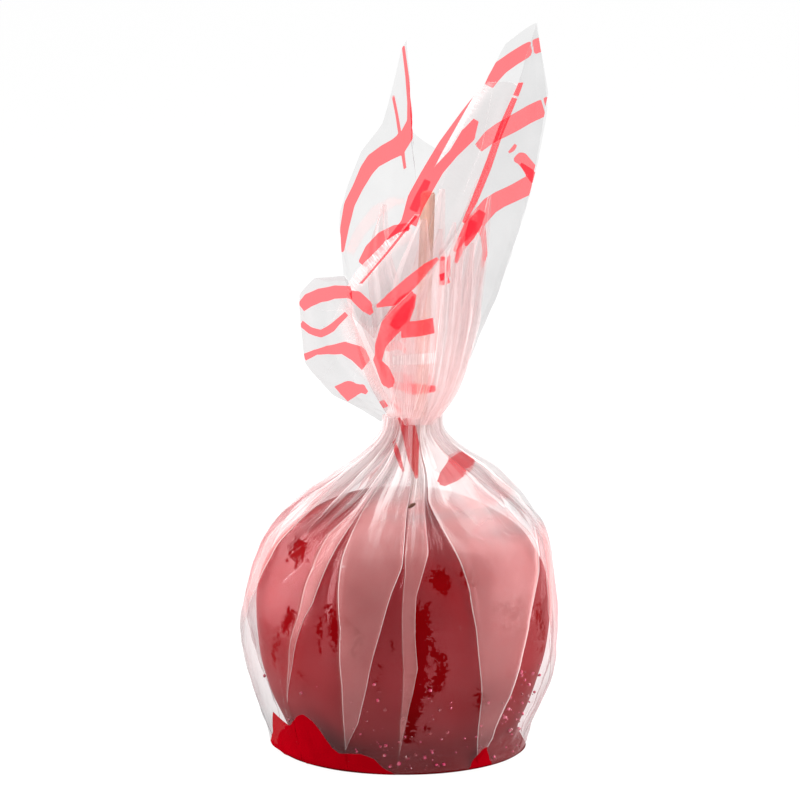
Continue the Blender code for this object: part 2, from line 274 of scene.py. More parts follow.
UNDER_STRIPES = [
    [(3.0, 120.0, 1.4), (0.2, 116.8, 2.6), (-3.2, 111.8, 3.0), (-4.9, 106.2, 2.8), (-5.6, 101.4, 1.6)],
    [(3.8, 119.3, 0.8), (2.4, 116.5, 2.8), (0.5, 112.9, 3.9), (-2.3, 110.6, 4.1),
     (-4.2, 107.8, 3.3), (-5.2, 104.8, 1.7), (-5.8, 102.5, 1.9), (-4.2, 100, 3.3),
     (-3.1, 97.2, 3.6), (-2.3, 95.3, 1.4)],
    [(0.2, 110.4, 4.1), (4, 110.6, 4.1), (8.5, 111.1, 4.1)],
    [(-4.9, 91.5, 1.9), (-3.8, 89.6, 2.2)],
    [(9.9, 123, 1.9), (12.6, 123.6, 1.9)],
]
CLEAN_STRIPES = [
    [(-2.0, 102.6, 2.2), (3.0, 102.8, 2.8), (9.0, 102.8, 2.8)],
]
LOBE_STRIPES = [
    [(-24.7, 116, 2.3), (-22.7, 118.1, 3.1), (-19.9, 119.4, 3.1), (-16.3, 119.9, 3.1),
     (-12.8, 119.4, 3.1), (-9.7, 117.3, 2.3)],
    [(-24.7, 112.1, 1.8), (-22.4, 110.8, 2), (-19.6, 110.3, 2), (-16.8, 111.4, 1.8), (-14, 113.7, 1)],
    [(-24, 103.4, 1.8), (-20.9, 105.4, 1.5), (-17.9, 106.2, 2.3), (-14, 106.2, 2.8),
     (-10.7, 104.1, 3.6), (-8.2, 101.3, 3.6)],
    [(-14.8, 94.1, 5.6), (-12.8, 95.6, 5.1), (-9.7, 95.9, 2.3), (-8.2, 94.6, 1)],
    [(-19.9, 110.6, 1), (-16.3, 112.1, 1.8), (-13.3, 114.2, 1.5)],
]
INNER_STRIPES = [
    [(-4.0, 104.5, 1.2), (-1.0, 106.0, 2.4), (1.5, 104.5, 1.0)],
    [(10.7, 128.1, 1.3), (10.5, 120.9, 1.5)],
    [(12.2, 128, 1.1), (12.2, 122.5, 1.1)],
    [(18.9, 136.4, 4.1), (16.8, 132.3, 3.1), (15, 129.2, 1.8), (14, 126.1, 0.8)],
    [(0, 87.9, 2.5), (-2, 89.7, 2)],
    [(-1.8, 95.6, 1.9), (4, 94.5, 3), (9, 94.5, 1.7)],
    [(4.1, 136.9, 1), (-1.3, 131, 1.3), (-5.6, 126.1, 1.3), (-9.7, 120.7, 1)],
]
NARROW_STRIPES = [
    [(3.5, 118.3, 1.1), (1.8, 115.6, 2.8), (0.2, 112.5, 3.9), (-1.6, 110.4, 2.8)],
    [(30.3, 172.4, 2), (24.7, 158.8, 1.8), (21.7, 150.2, 2), (18.6, 142.5, 1.8), (15.8, 136.8, 1)],
    [(4.3, 138.6, 1.3), (-2.5, 130.1, 1.5), (-9.9, 121.4, 1.3)],
]
# Clear lines across the stripes where the side of the bag is sealed: (x, z)
BACK_SEALS = [
    [(32.6, 183.3), (33.7, 177.1)],
    [(35.4, 167.8), (37, 162.6)],
]
NARROW_SEALS = [
    [(27.3, 168.3), (30.6, 167.3)],
]
# Crisp creases, drawn with a painted highlight: (x, z) along each
SASH_CREASES = [
    [(21.9, 172.2), (18.4, 168.6), (15, 164.2), (9.7, 157), (5.1, 149.2), (2, 143.5), (0.3, 137.3)],
    [(29.3, 171.4), (25, 158.8), (18.6, 142.5), (14.3, 134.2), (9.4, 127), (4.1, 120.6), (-1, 115.7),
     (-5.1, 111)],
    [(17.3, 166.2), (14, 156.4), (10.2, 146.1), (7.1, 135.3)],
    [(22.9, 169.3), (20.4, 156.4), (15.8, 144.6)],
]
LOBE_CREASES = [
    [(-12.2, 121.5), (-16.5, 113.5), (-23.5, 109.0)],
    [(-10.5, 112.0), (-17.5, 101.0), (-20.0, 97.5)],
    [(-9.0, 106.0), (-12.0, 97.0), (-13.5, 92.0)],
    [(-11.8, 115.0), (-19.0, 116.0), (-24.8, 117.5)],
]
UNDER_CREASES = [
    [(2, 118.2), (1, 107.9), (-0.5, 96.3), (-2, 89.8)],
    [(5.4, 118.2), (6.1, 107.9), (5.6, 96.3), (3.6, 89.3)],
    [(8.7, 120.8), (9.7, 109.2), (9.2, 97.6)],
]

# Print low down on the bag: bearing, and how high the red reaches there
BASE_PRINT = np.array([
    (-180, 1.5), (-150, 3), (-120, 1), (-84, 0.5), (-70, 6), (-62, 12.8), (-57, 11.2), (-52, 10.2),
    (-46, 13.6), (-42, 14.6), (-38, 13.0), (-34, 9.9), (-30, 6.2), (-27, 5.0), (-17, 5.4), (-11, 4.2),
    (-7, 1.8), (-3, 0.8), (0, -1), (32, -1), (38.6, 5.4), (41, 5.8), (44.5, 3.1), (48, -1), (62, -1),
    (100, 0.5), (140, 2), (180, 1.5),
])
# Where the film sticks to the toffee, front: (x, z, width) along each patch
STUCK_PATCHES = [
    [(8.4, 53.2, 2), (9.4, 51.2, 4.6), (10.5, 49.1, 4.6), (11.2, 47.1, 1.8)],
    [(5.4, 45, 3.6), (5.1, 41.3, 5.1), (5.4, 35.4, 5.6), (5.4, 30.2, 4.3), (4.3, 25.6, 4.1),
     (3.6, 18, 4.1), (2.3, 12.5, 3.3), (2.5, 8.7, 3.1)],
    [(7.1, 34.1, 2.5), (9.7, 31.9, 3.3), (10.5, 28.1, 3.1), (8.7, 24.4, 3.6), (6.1, 21.8, 2.5)],
    [(-17.1, 44.4, 0.8), (-19.1, 41, 1.3), (-20.4, 36.2, 1.3), (-19.9, 31.6, 0.5)],
    [(-15.6, 43.7, 1.5), (-16.3, 40, 3.1), (-15.8, 35.6, 3.1), (-15.6, 33, 0.8)],
    [(-14, 40.9, 1), (-11.2, 39, 1.5), (-9.7, 35.4, 1.5), (-12.2, 33.2, 1.5), (-8.7, 31.3, 0.8)],
    [(-26.8, 42, 2), (-28.1, 38.2, 3.3), (-29.8, 35, 1.3), (-31.6, 31.2, 1), (-31.1, 26.3, 1)],
    [(-23.6, 58.4, 1.6), (-24.7, 56.5, 4.2), (-26.2, 54.0, 4.2), (-27, 52.2, 1.6)],
    [(29.8, 43.3, 1.3), (31.1, 39.1, 3.1), (30.3, 35.1, 2.3)],
    [(34.4, 40.3, 1), (35.7, 35.2, 1.5), (36, 28.9, 1)],
    [(16.1, 52.8, 3.1), (17.9, 49.6, 3.6), (18.4, 46.6, 1.3)],
    [(22.9, 41.8, 1.8), (25.5, 42.9, 2), (28.1, 39.6, 3.1), (26.3, 36.2, 2.3)],
    [(19.1, 22.1, 1.3), (20.4, 19.2, 3.1), (19.6, 15.9, 1.3)],
    [(-5.1, 29.9, 0.8), (-4.8, 27.7, 0.8)],
    [(-6.1, 26.3, 1.3), (-5.1, 24.2, 1)],
    [(-2.5, 35.1, 0.8), (-1.5, 33.9, 0.8)],
    [(-25.5, 27, 0.5), (-23.2, 23, 0.5)],
    [(6.1, 14.6, 0.8), (6.6, 12.4, 1)],
    [(27.5, 25.9, 0.8), (28.6, 23.5, 0.5)],
]
# Fine creases in the film over the toffee, drawn as painted highlights, front: (x, z)
FINE_CREASES = [
    [(-6.6, 51.2), (-5.7, 56.8), (-2.6, 62.4), (-1.4, 67)],
    [(-6.3, 51.5), (-2.1, 59.4), (0, 65)],
    [(-13.4, 53.8), (-10.1, 53), (-6.3, 50.9), (-2, 48.2)],
    [(4.6, 48.4), (6.5, 47.3), (11, 42.8), (15.1, 38.7), (14.9, 37.9), (9.9, 37.9), (6.5, 36.3)],
    [(29.3, 48.7), (28.2, 41.3), (27.2, 28.1), (30.1, 26.8)],
    [(34, 48.8), (35.9, 50.2), (38.7, 45)],
    [(31.2, 32.8), (35.4, 31.3), (39.8, 30.5)],
    [(-21.2, 52.7), (-22, 47.3), (-23.9, 41.8)],
    [(-29.8, 46.8), (-27.3, 49.8), (-23.4, 53.4)],
    [(-32, 31.4), (-30.3, 24.2), (-28.8, 14.3), (-27.3, 7.9)],
    [(-36.7, 29.6), (-33.4, 32.7), (-29.5, 36.2)],
    [(-7.3, 67.7), (-4.5, 61.9), (-1.2, 55.9), (0.7, 51.6)],
    [(-1.5, 65.5), (1, 61), (2.7, 56.9), (3.2, 51.6)],
    [(15.4, 66.6), (18.2, 63.4), (24.8, 63.7), (28.2, 65)],
    [(-40, 30.5), (-37.3, 42.3), (-32.8, 53.5), (-25.1, 63.2)],
    [(-38.9, 22.6), (-35, 11), (-31.4, 1.8)],
    [(39.2, 42.3), (39.8, 32.8), (39.2, 19.3), (34.3, 7.9)],
    [(30.9, 66), (35.4, 57.4), (38.1, 49.5)],
]
# Stripes caught in the shoulder and the neck, front and back: (x, z, width)
SHOULDER_STRIPES = [
    [(9.6, 71.0, 1.6), (11.6, 72.6, 3.6), (14.2, 74.2, 5.2), (16.8, 75.4, 4.6), (18.8, 74.8, 1.8)],
    [(0.6, 87.0, 3.0), (2.2, 83.5, 3.8), (3.0, 80.0, 3.8), (3.4, 76.5, 2.6), (4.2, 73.0, 0.8)],
    [(-1.6, 80.5, 1.0), (-0.4, 77.0, 1.4), (1.0, 74.0, 0.6)],
]

# The film is a veil over the toffee up to this far from it, at each height; there it gets a painted pink
# tint and glow for the toffee's red light
VEIL_CLEARANCE = [(40.0, 5.0), (50.0, 6.5), (60.0, 9.5), (66.0, 15.0), (70.0, 22.0)]

# Film: how it hides what is behind it
EDGE_ON_POWER = 4.0
EDGE_ON_COVER = 0.55
GATHERED_COVER = 0.14
PLEAT_COVER = 0.26
CREASE_COVER = 0.28
MOUTH_CREASE_COVER = 0.5
BODY_MIRROR = 0.6                   # share of its light that the film mirrors
MOUTH_MIRROR = 0.04
STREAK_PINK = 0.75
NO_PAINTED_GLOW = (0.0, 0.0, 0.0)
CREASE_WIDTH = 0.35
FINE_CREASE_WIDTH = 0.1
FINE_CREASE_DEPTH = -15.0           # they lie in front of this
STIFFNESS = 0.8                     # of the mouth's film: 1 bends only at its lines
SEAL_WIDTH = 0.5
FOLD_ROWS = 120
FOLD_SIDES = 26

# Speck of burnt sugar on the film: (x, z) of its middle, and its size
SPECK_PLACE = (2.7, 67.8)
SPECK_SIZE = (2.3, 0.7, 1.0)

# Stick
STICK_FOOT = Vector((3.4, 0.6, 34.0))
STICK_TOP = Vector((7.1, -0.6, 143.5))
STICK_ROUND = 0.9                   # rounding of its end

# Camera: a long lens, a little above the apple
CAMERA_DISTANCE = 900.0
CAMERA_RISE = 9.0                   # degrees above level
FRAME_WIDTH = 204.0                 # how much of its width the view takes in at the apple
AIM_HEIGHT = 90.0
SENSOR = 36.0


# ------------------------------------------------------------ small helpers
def settings():
    """The values that a user can change."""
    return bpy.context.scene.toffee_apple


def only_this(thing):
    """Deselect everything, then select and activate one object."""
    if bpy.context.object and bpy.context.object.mode != 'OBJECT':
        bpy.ops.object.mode_set(mode='OBJECT')
    bpy.ops.object.select_all(action='DESELECT')
    thing.select_set(True)
    bpy.context.view_layer.objects.active = thing


def finish_piece(piece, material):
    """Give a piece its material and its body, with its place in its mesh."""
    only_this(piece)
    bpy.ops.object.transform_apply(location=True, rotation=True, scale=True)
    piece.data.materials.clear()
    piece.data.materials.append(material)
    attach(piece, BODY)


def triangle_wave(x):
    """A wave of straight slopes between -1 and 1, with sharp crests."""
    return 4.0 * np.abs(x - np.floor(x + 0.5)) - 1.0


def smooth_step(low, high, x):
    """0 below low, 1 above high and a smooth slope between them."""
    t = np.clip((x - low) / (high - low), 0.0, 1.0)
    return t * t * (3.0 - 2.0 * t)


def smooth_rows(rows, place):
    """Rows of values at places along them, on a smooth curve through the rows."""
    last = len(rows) - 1
    step = np.clip(np.searchsorted(rows[:, 0], place, side='right') - 1, 0, last - 1)
    t = ((place - rows[step, 0]) / (rows[step + 1, 0] - rows[step, 0]))[..., None]
    a, b, c, d = (rows[np.clip(step + k, 0, last)][..., 1:] for k in (-1, 0, 1, 2))
    return blend_four(a, b, c, d, t)


def blend_four(a, b, c, d, t):
    """Values at t between b and c, on a smooth curve through a, b, c and d."""
    return 0.5 * (2.0 * b + (c - a) * t + (2.0 * a - 5.0 * b + 4.0 * c - d) * t * t
                  + (3.0 * b - 3.0 * c + d - a) * t ** 3)


def crumple(across, along, grain, seed, creases=8):
    """Facets of creased film, between about -1 and 1, with creases every way."""
    draw = random.Random(seed)
    height = np.zeros_like(across)
    total = 0.0
    for _ in range(creases):
        angle = draw.uniform(0.0, math.pi)
        length = grain * draw.uniform(0.6, 2.2)
        bend = draw.uniform(0.2, 0.6)
        side = across * math.cos(angle) + along * math.sin(angle)
        other = along * math.cos(angle) - across * math.sin(angle)
        warp = bend * triangle_wave(other / (2.7 * length) + draw.random())
        height += length * triangle_wave(side / length + warp + draw.random())
        total += length
    return height / total


def soft_lumps(x, y, z, grain, seed):
    """Soft lumps over a solid, between about -1 and 1."""
    draw = random.Random(seed)
    total = np.zeros_like(x)
    for _ in range(7):
        way = Vector((draw.uniform(-1, 1), draw.uniform(-1, 1), draw.uniform(-1, 1))).normalized()
        length = grain * draw.uniform(0.8, 2.0)
        total += np.sin(2.0 * math.pi * (x * way.x + y * way.y + z * way.z) / length
                        + draw.uniform(0.0, 6.28))
    return total / 7.0


def sheet_from_points(name, points, around, along):
    """A sheet through rows of points, with its own map of the flat film in UV."""
    rows, columns = points.shape[:2]
    bpy.ops.object.select_all(action='DESELECT')
    bpy.ops.mesh.primitive_grid_add(x_subdivisions=columns - 1, y_subdivisions=rows - 1,
                                    size=1.0, calc_uvs=True)
    sheet = bpy.context.object
    sheet.name = sheet.data.name = name
    sheet.data.vertices.foreach_set("co", (points * MM).reshape(-1).astype(np.float32))
    flat = np.stack(np.broadcast_arrays(around, along), axis=-1).reshape(-1, 2)
    corner = np.empty(len(sheet.data.loops), dtype=np.int32)
    sheet.data.loops.foreach_get("vertex_index", corner)
    layer = sheet.data.uv_layers[0]
    layer.name = "flat_film"
    layer.data.foreach_set("uv", flat[corner].reshape(-1).astype(np.float32))
    sheet.data.update()
    sheet.data.shade_smooth()
    return sheet


def mark_points(piece, name, values):
    """Store one value for each point of a piece, for its material to read."""
    layer = piece.data.attributes.new(name, 'FLOAT', 'POINT')
    layer.data.foreach_set("value", np.asarray(values, dtype=np.float32).reshape(-1))


# ------------------------------------------------------------- film shapes
def body_middle_and_radius(height):
    """Middle and radius of the body's outline at heights."""
    left, right = np.moveaxis(smooth_rows(BODY_OUTLINE, height), -1, 0)
    return (right - left) / 2.0, (right + left) / 2.0


def apple_radius(height):
    """Radius of the toffee at heights."""
    return np.interp(height, APPLE_FLANK[:, 0], APPLE_FLANK[:, 1])


def fold_edges(fold, height):
    """Bearings of a fold's two edges at a height."""
    rows = np.array(fold, dtype=float)
    return (np.interp(height, rows[:, 0], rows[:, 1]),
            np.interp(height, rows[:, 0], rows[:, 2]))


def folded_ring(height):
    """Bearing and lift round the body's film, with its laid-over folds."""
    bearings = []
    lifts = []
    before = fold_edges(FOLDS[-1], height)[1] - 360.0 + 2.0 * EDGE_LEAN
    for fold in FOLDS:
        left, right = fold_edges(fold, height)
        width = right - left
        lift = LAYER_LIFT * min(1.0, 0.25 + width / FULL_FOLD) if width > 0.01 else 0.0
        panel = np.linspace(0.0, 1.0, PANEL_COLUMNS, endpoint=False)
        bearings.append(before + (left - before) * panel)
        lifts.append(2.0 * lift * smooth_step(0.45, 1.0, panel))
        for start, end, layer in ((left, right + EDGE_LEAN, 2.0),
                                  (right + EDGE_LEAN, left + 1.03 * EDGE_LEAN, 1.0),
                                  (left + 1.05 * EDGE_LEAN, right + 1.95 * EDGE_LEAN, 0.0)):
            bearings.append(np.linspace(start, end, FOLD_COLUMNS))
            lifts.append(np.full(FOLD_COLUMNS, layer * lift))
        before = right + 2.0 * EDGE_LEAN
    return np.concatenate(bearings), np.concatenate(lifts)


def loose_columns():
    """1 for each column of the body's film in the two loose layers of a fold, otherwise 0."""
    layers = (PANEL_COLUMNS, FOLD_COLUMNS, FOLD_COLUMNS, FOLD_COLUMNS)
    return np.tile(np.repeat((0.0, 1.0, 1.0, 0.0), layers), len(FOLDS))


def neck_pleats(fraction):
    """Share of the radius that the gathered film reaches in the neck."""
    wobble = (0.35 * np.sin(2.0 * math.pi * (3.0 * fraction + 0.15))
              + 0.25 * np.sin(2.0 * math.pi * (7.0 * fraction + 0.4)))
    crest = triangle_wave(NECK_PLEATS * fraction + wobble)
    minor = triangle_wave(2.3 * NECK_PLEATS * fraction + 2.0 * wobble)
    return 1.0 - NECK_PLEAT_DEPTH * (0.5 + 0.36 * crest + 0.14 * minor)


def film_slack(side, height):
    """How far the film strays from its outline, most at the sides, shoulder and foot."""
    shoulder = smooth_step(50.0, 66.0, height)
    foot = 1.0 - smooth_step(4.0, 16.0, height)
    return 0.12 + 0.55 * side ** 3 + 1.1 * shoulder + 0.5 * foot


def body_film_ring(height):
    """Points of one level ring of the body's film, and the bearing of each."""
    bearing, lift = folded_ring(height)
    fraction = np.linspace(0.0, 1.0, len(bearing))
    turned = bearing + NECK_TWIST * smooth_step(70.0, 96.0, height)
    direction = np.radians(turned)
    side = np.abs(np.sin(direction))
    middle, radius = (value[0] for value in body_middle_and_radius(np.array([height])))
    across = FILM_ROUND * fraction
    along = np.full_like(fraction, 1.15 * height)
    creased = film_slack(side, height) * (crumple(across, along, 15.0, CRUMPLE_SEED)
                                          + 0.35 * crumple(across, along, 5.0, CRUMPLE_SEED + 1))
    gather = smooth_step(58.0, 83.0, height)
    pleated = 1.0 + (neck_pleats(fraction) - 1.0) * smooth_step(54.0, 82.0, height) ** 1.3
    reach = radius * (DEPTH_OF_WIDTH + (1.0 - DEPTH_OF_WIDTH) * side ** 2) * pleated
    reach = reach + creased * (1.0 - 0.7 * gather)
    if height < APPLE_FLANK[-1, 0]:
        skin = apple_radius(height) + (APPLE_CENTRE - middle) * np.sin(direction) + SKIN_GAP
        reach = np.maximum(reach, skin)
    reach = reach + lift * (1.0 - 0.6 * gather)
    ring = np.stack([middle + reach * np.sin(direction), -reach * np.cos(direction),
                     np.full_like(reach, height)], axis=-1)
    return ring, np.mod(turned + 180.0, 360.0) - 180.0


def body_film_points():
    """Points of the body's film, row by row from the middle of its underside."""
    heights = NECK_HEIGHT * np.linspace(0.0, 1.0, BODY_ROWS) ** 1.05
    rings = [body_film_ring(height) for height in heights]
    foot, foot_bearings = rings[0]
    centre = foot.mean(axis=0)
    for step in range(1, UNDERSIDE_ROWS):
        share = 1.0 - step / (UNDERSIDE_ROWS - 1)
        ring = centre + (foot - centre) * share
        ring[:, 2] = UNDERSIDE_RISE * math.sin(math.pi * share)
        rings.insert(0, (ring, foot_bearings))
    points = np.stack([ring for ring, _ in rings])
    points[:, -1] = points[:, 0]
    return points, np.stack([bearings for _, bearings in rings]), body_creases(points)


def body_creases(points):
    """Marks the two edges of every fold that is laid over, as crisp creases with a painted highlight."""
    crease = np.full(points.shape[:2], NO_CREASE)
    step = PANEL_COLUMNS + 3 * FOLD_COLUMNS
    for index, fold in enumerate(FOLDS):
        first = index * step + PANEL_COLUMNS
        for edge in (first + FOLD_COLUMNS - 1, first + FOLD_COLUMNS, first + 2 * FOLD_COLUMNS - 1,
                     first + 2 * FOLD_COLUMNS):
            height = points[:, edge, 2]
            folded = (height > fold[0][0]) & (height < FOLD_CREASE_TOP)
            crease[:, edge] = np.where(folded, FOLD_CREASE, NO_CREASE)
    return crease


def sheet_normals(points):
    """Unit normals of a grid of points."""
    normal = np.cross(np.gradient(points, axis=1), np.gradient(points, axis=0))
    return normal / np.maximum(np.linalg.norm(normal, axis=-1, keepdims=True), 1e-9)


def smooth_along(grid, count, stiff=0.0):
    """A grid of places resampled along its first axis; stiff film bends less smoothly."""
    last = len(grid) - 1
    place = np.linspace(0.0, last, count)
    step = np.clip(np.floor(place).astype(int), 0, last - 1)
    t = (place - step).reshape(-1, *([1] * (grid.ndim - 1)))
    a, b, c, d = (grid[np.clip(step + k, 0, last)] for k in (-1, 0, 1, 2))
    return (1.0 - stiff) * blend_four(a, b, c, d, t) + stiff * (b + (c - b) * t)


def smooth_grid(grid, rows, columns, stiff=STIFFNESS):
    """A fine grid of points through a coarse grid of places."""
    fine = smooth_along(np.array(grid, dtype=float), rows, stiff)
    return smooth_along(fine.swapaxes(0, 1), columns, 0.5 * stiff).swapaxes(0, 1)


def creased_sheet(points, depth, seed, calm_rows=0.12):
    """A sheet of film with creases every way, calmer at its neck end."""
    along = np.cumsum(np.linalg.norm(np.diff(points, axis=1, prepend=points[:, :1]), axis=-1), axis=1)
    across = np.cumsum(np.linalg.norm(np.diff(points, axis=0, prepend=points[:1]), axis=-1), axis=0)
    calm = smooth_step(0.0, calm_rows, np.linspace(0.0, 1.0, points.shape[1]))[None, :]
    lift = crumple(across, along, 16.0, seed) + 0.35 * crumple(across, along, 6.0, seed + 1)
    return points + sheet_normals(points) * (depth * calm * lift)[..., None]


def long_fold(rows, index):
    """Points of one long V-shaped fold of film, along its length and across it."""
    draw = random.Random(100 + index)
    fine = smooth_along(np.array(rows, dtype=float), FOLD_ROWS)
    side = np.linspace(-1.0, 1.0, FOLD_SIDES)
    half = 0.5 * fine[:, 3:4]
    turn = draw.uniform(-0.35, 0.35) + draw.uniform(-0.5, 0.5) * np.linspace(0.0, 1.0, FOLD_ROWS)[:, None]
    pleats = draw.choice((1.0, 1.5, 2.0))
    ridge = draw.uniform(0.35, 0.7) * half * triangle_wave(0.5 * pleats * side + 0.25) / pleats
    points = np.empty((FOLD_ROWS, FOLD_SIDES, 3))
    points[..., 0] = fine[:, 0:1] + half * side * np.cos(turn) - ridge * np.sin(turn)
    points[..., 1] = fine[:, 1:2] + half * side * np.sin(turn) + ridge * np.cos(turn)
    points[..., 2] = fine[:, 2:3]
    return points


def band_reach(x, z, bands):
    """How far points lie inside the nearest of some bands; negative outside them all."""
    reach = np.full(x.shape, -9.0)
    for band in bands:
        last = len(band) - 2
        for index, ((x0, z0, w0), (x1, z1, w1)) in enumerate(zip(band, band[1:])):
            length = math.hypot(x1 - x0, z1 - z0)
            run = ((x - x0) * (x1 - x0) + (z - z0) * (z1 - z0)) / length
            t = np.clip(run / length, 0.0, 1.0)
            away = np.hypot(x - x0 - (x1 - x0) * t, z - z0 - (z1 - z0) * t)
            inside = 0.5 * (w0 + (w1 - w0) * t) - away
            if index == 0:
                inside = np.minimum(inside, run)
            if index == last:
                inside = np.minimum(inside, length - run)
            reach = np.maximum(reach, inside)
    return reach


def stuck_reach(x, y, z):
    """How far points lie inside the patches where film and toffee stick together."""
    front = band_reach(x, z, STUCK_PATCHES)
    back = band_reach(-x, z, STUCK_PATCHES[2:])
    return np.where(y < 0.0, front, back)


def line_reach(x, z, lines, width):
    """How far points lie inside the nearest of some narrow lines."""
    return band_reach(x, z, [[(*place, width) for place in line] for line in lines])


# --------------------------------------------------------------- materials
def new_material(name):
    """A material with a shader on its output; gives the material, its tree and the shader."""
    material = bpy.data.materials.new(name)
    material.use_nodes = True
    tree = material.node_tree
    tree.nodes.clear()
    output = add_node(tree, "ShaderNodeOutputMaterial", (900, 0))
    shader = add_node(tree, "ShaderNodeBsdfPrincipled", (600, 0))
    tree.links.new(shader.outputs[0], output.inputs[0])
    return material, tree, shader


def object_places(tree):
    """The place of each point of a piece."""
    return add_node(tree, "ShaderNodeTexCoord", (-900, 0)).outputs["Object"]


def add_bump(tree, shader, height, strength, distance):
    """Small relief in a surface, from its height."""
    bump = add_node(tree, "ShaderNodeBump", (300, -400))
    bump.inputs["Strength"].default_value = strength
    bump.inputs["Distance"].default_value = distance * MM
    tree.links.new(height, bump.inputs["Height"])
    tree.links.new(bump.outputs[0], shader.inputs["Normal"])


def add_node(tree, kind, place=(0, 0), **values):
    """A shader node with its settings and unlinked inputs given by name."""
    node = tree.nodes.new(kind)
    node.location = place
    for name, value in values.items():
        if hasattr(node, name):
            setattr(node, name, value)
        else:
            node.inputs[name.replace("_", " ")].default_value = value
    return node


def maths(tree, operation, *values, clamp=False):
    """A maths node; values are numbers or sockets. Gives its output."""
    node = tree.nodes.new("ShaderNodeMath")
    node.operation = operation
    node.use_clamp = clamp
    for socket, value in zip(node.inputs, values):
        if isinstance(value, (int, float)):
            socket.default_value = value
        else:
            tree.links.new(value, socket)
    return node.outputs[0]


def remap(tree, value, low, high, to_low=0.0, to_high=1.0, smooth=True):
    """Map a value between low and high on to another range. Gives its output."""
    node = tree.nodes.new("ShaderNodeMapRange")
    node.interpolation_type = 'SMOOTHSTEP' if smooth else 'LINEAR'
    node.inputs["From Min"].default_value = low
    node.inputs["From Max"].default_value = high
    node.inputs["To Min"].default_value = to_low
    node.inputs["To Max"].default_value = to_high
    tree.links.new(value, node.inputs["Value"])
    return node.outputs["Result"]


def mix_colours(tree, factor, first, second):
    """A colour between two, each a colour or a socket, by a factor from a socket."""
    node = tree.nodes.new("ShaderNodeMix")
    node.data_type = 'RGBA'
    for socket, value in ((node.inputs[0], factor), (node.inputs[6], first), (node.inputs[7], second)):
        if isinstance(value, bpy.types.NodeSocket):
            tree.links.new(value, socket)
        else:
            socket.default_value = (*value, 1.0)
    return node.outputs[2]


def layer_colours(tree, colour, layers):
    """A colour with others laid over it in turn, each where its mask says."""
    for mask, over in layers:
        colour = mix_colours(tree, mask, colour, over)
    return colour


def noise(tree, vector, scale, detail=3.0, roughness=0.5, distortion=0.0):
    """Fractal noise over a vector, about 0.5. Gives its output."""
    node = tree.nodes.new("ShaderNodeTexNoise")
    node.inputs["Scale"].default_value = scale
    node.inputs["Detail"].default_value = detail
    node.inputs["Roughness"].default_value = roughness
    node.inputs["Distortion"].default_value = distortion
    tree.links.new(vector, node.inputs["Vector"])
    return node.outputs["Fac"]


def new_group(name, inputs, outputs):
    """A shader node group with named sockets; gives the group and its two end nodes."""
    group = bpy.data.node_groups.new(name, 'ShaderNodeTree')
    for socket, kind in inputs:
        group.interface.new_socket(socket, in_out='INPUT', socket_type=kind)
    for socket in outputs:
        group.interface.new_socket(socket, in_out='OUTPUT', socket_type='NodeSocketFloat')
    return group, group.nodes.new("NodeGroupInput"), group.nodes.new("NodeGroupOutput")


def stuck_patches_group():
    """Ragged patches where the film sticks to the toffee, from how far inside one is."""
    name = "stuck patches"
    if name in bpy.data.node_groups:
        return bpy.data.node_groups[name]
    group, start, end = new_group(
        name, (("Vector", 'NodeSocketVector'), ("Inside", 'NodeSocketFloat')), ("Mask",))
    ragged = noise(group, start.outputs[0], 800.0, 5.0, 0.66, 0.5)
    wander = maths(group, 'MULTIPLY_ADD', ragged, 10.0, -5.3)
    edge = maths(group, 'ADD', start.outputs[1], wander)
    patch = remap(group, edge, -0.05, 0.05)
    near = remap(group, start.outputs[1], -1.9, -1.5)
    group.links.new(maths(group, 'MULTIPLY', patch, near), end.inputs[0])
    return group


def film_streaks_group():
    """Fine pleats that run down the film, as painted highlight streaks and painted pink streaks: masks from
    its own flat map.
    """
    name = "film streaks"
    if name in bpy.data.node_groups:
        return bpy.data.node_groups[name]
    group, start, end = new_group(name, (("Film", 'NodeSocketVector'),), ("Streaks", "Blush"))
    stretch = group.nodes.new("ShaderNodeMapping")
    stretch.inputs["Scale"].default_value = (130.0, 2.2, 1.0)
    group.links.new(start.outputs[0], stretch.inputs["Vector"])
    fine = noise(group, stretch.outputs[0], 1.6, 3.0, 0.62)
    group.links.new(remap(group, fine, 0.48, 0.62), end.inputs[0])
    group.links.new(remap(group, fine, 0.46, 0.34), end.inputs[1])
    return group


def attribute(tree, name):
    """A value stored on the points of a piece."""
    return add_node(tree, "ShaderNodeAttribute", (-900, -500), attribute_name=name).outputs["Fac"]


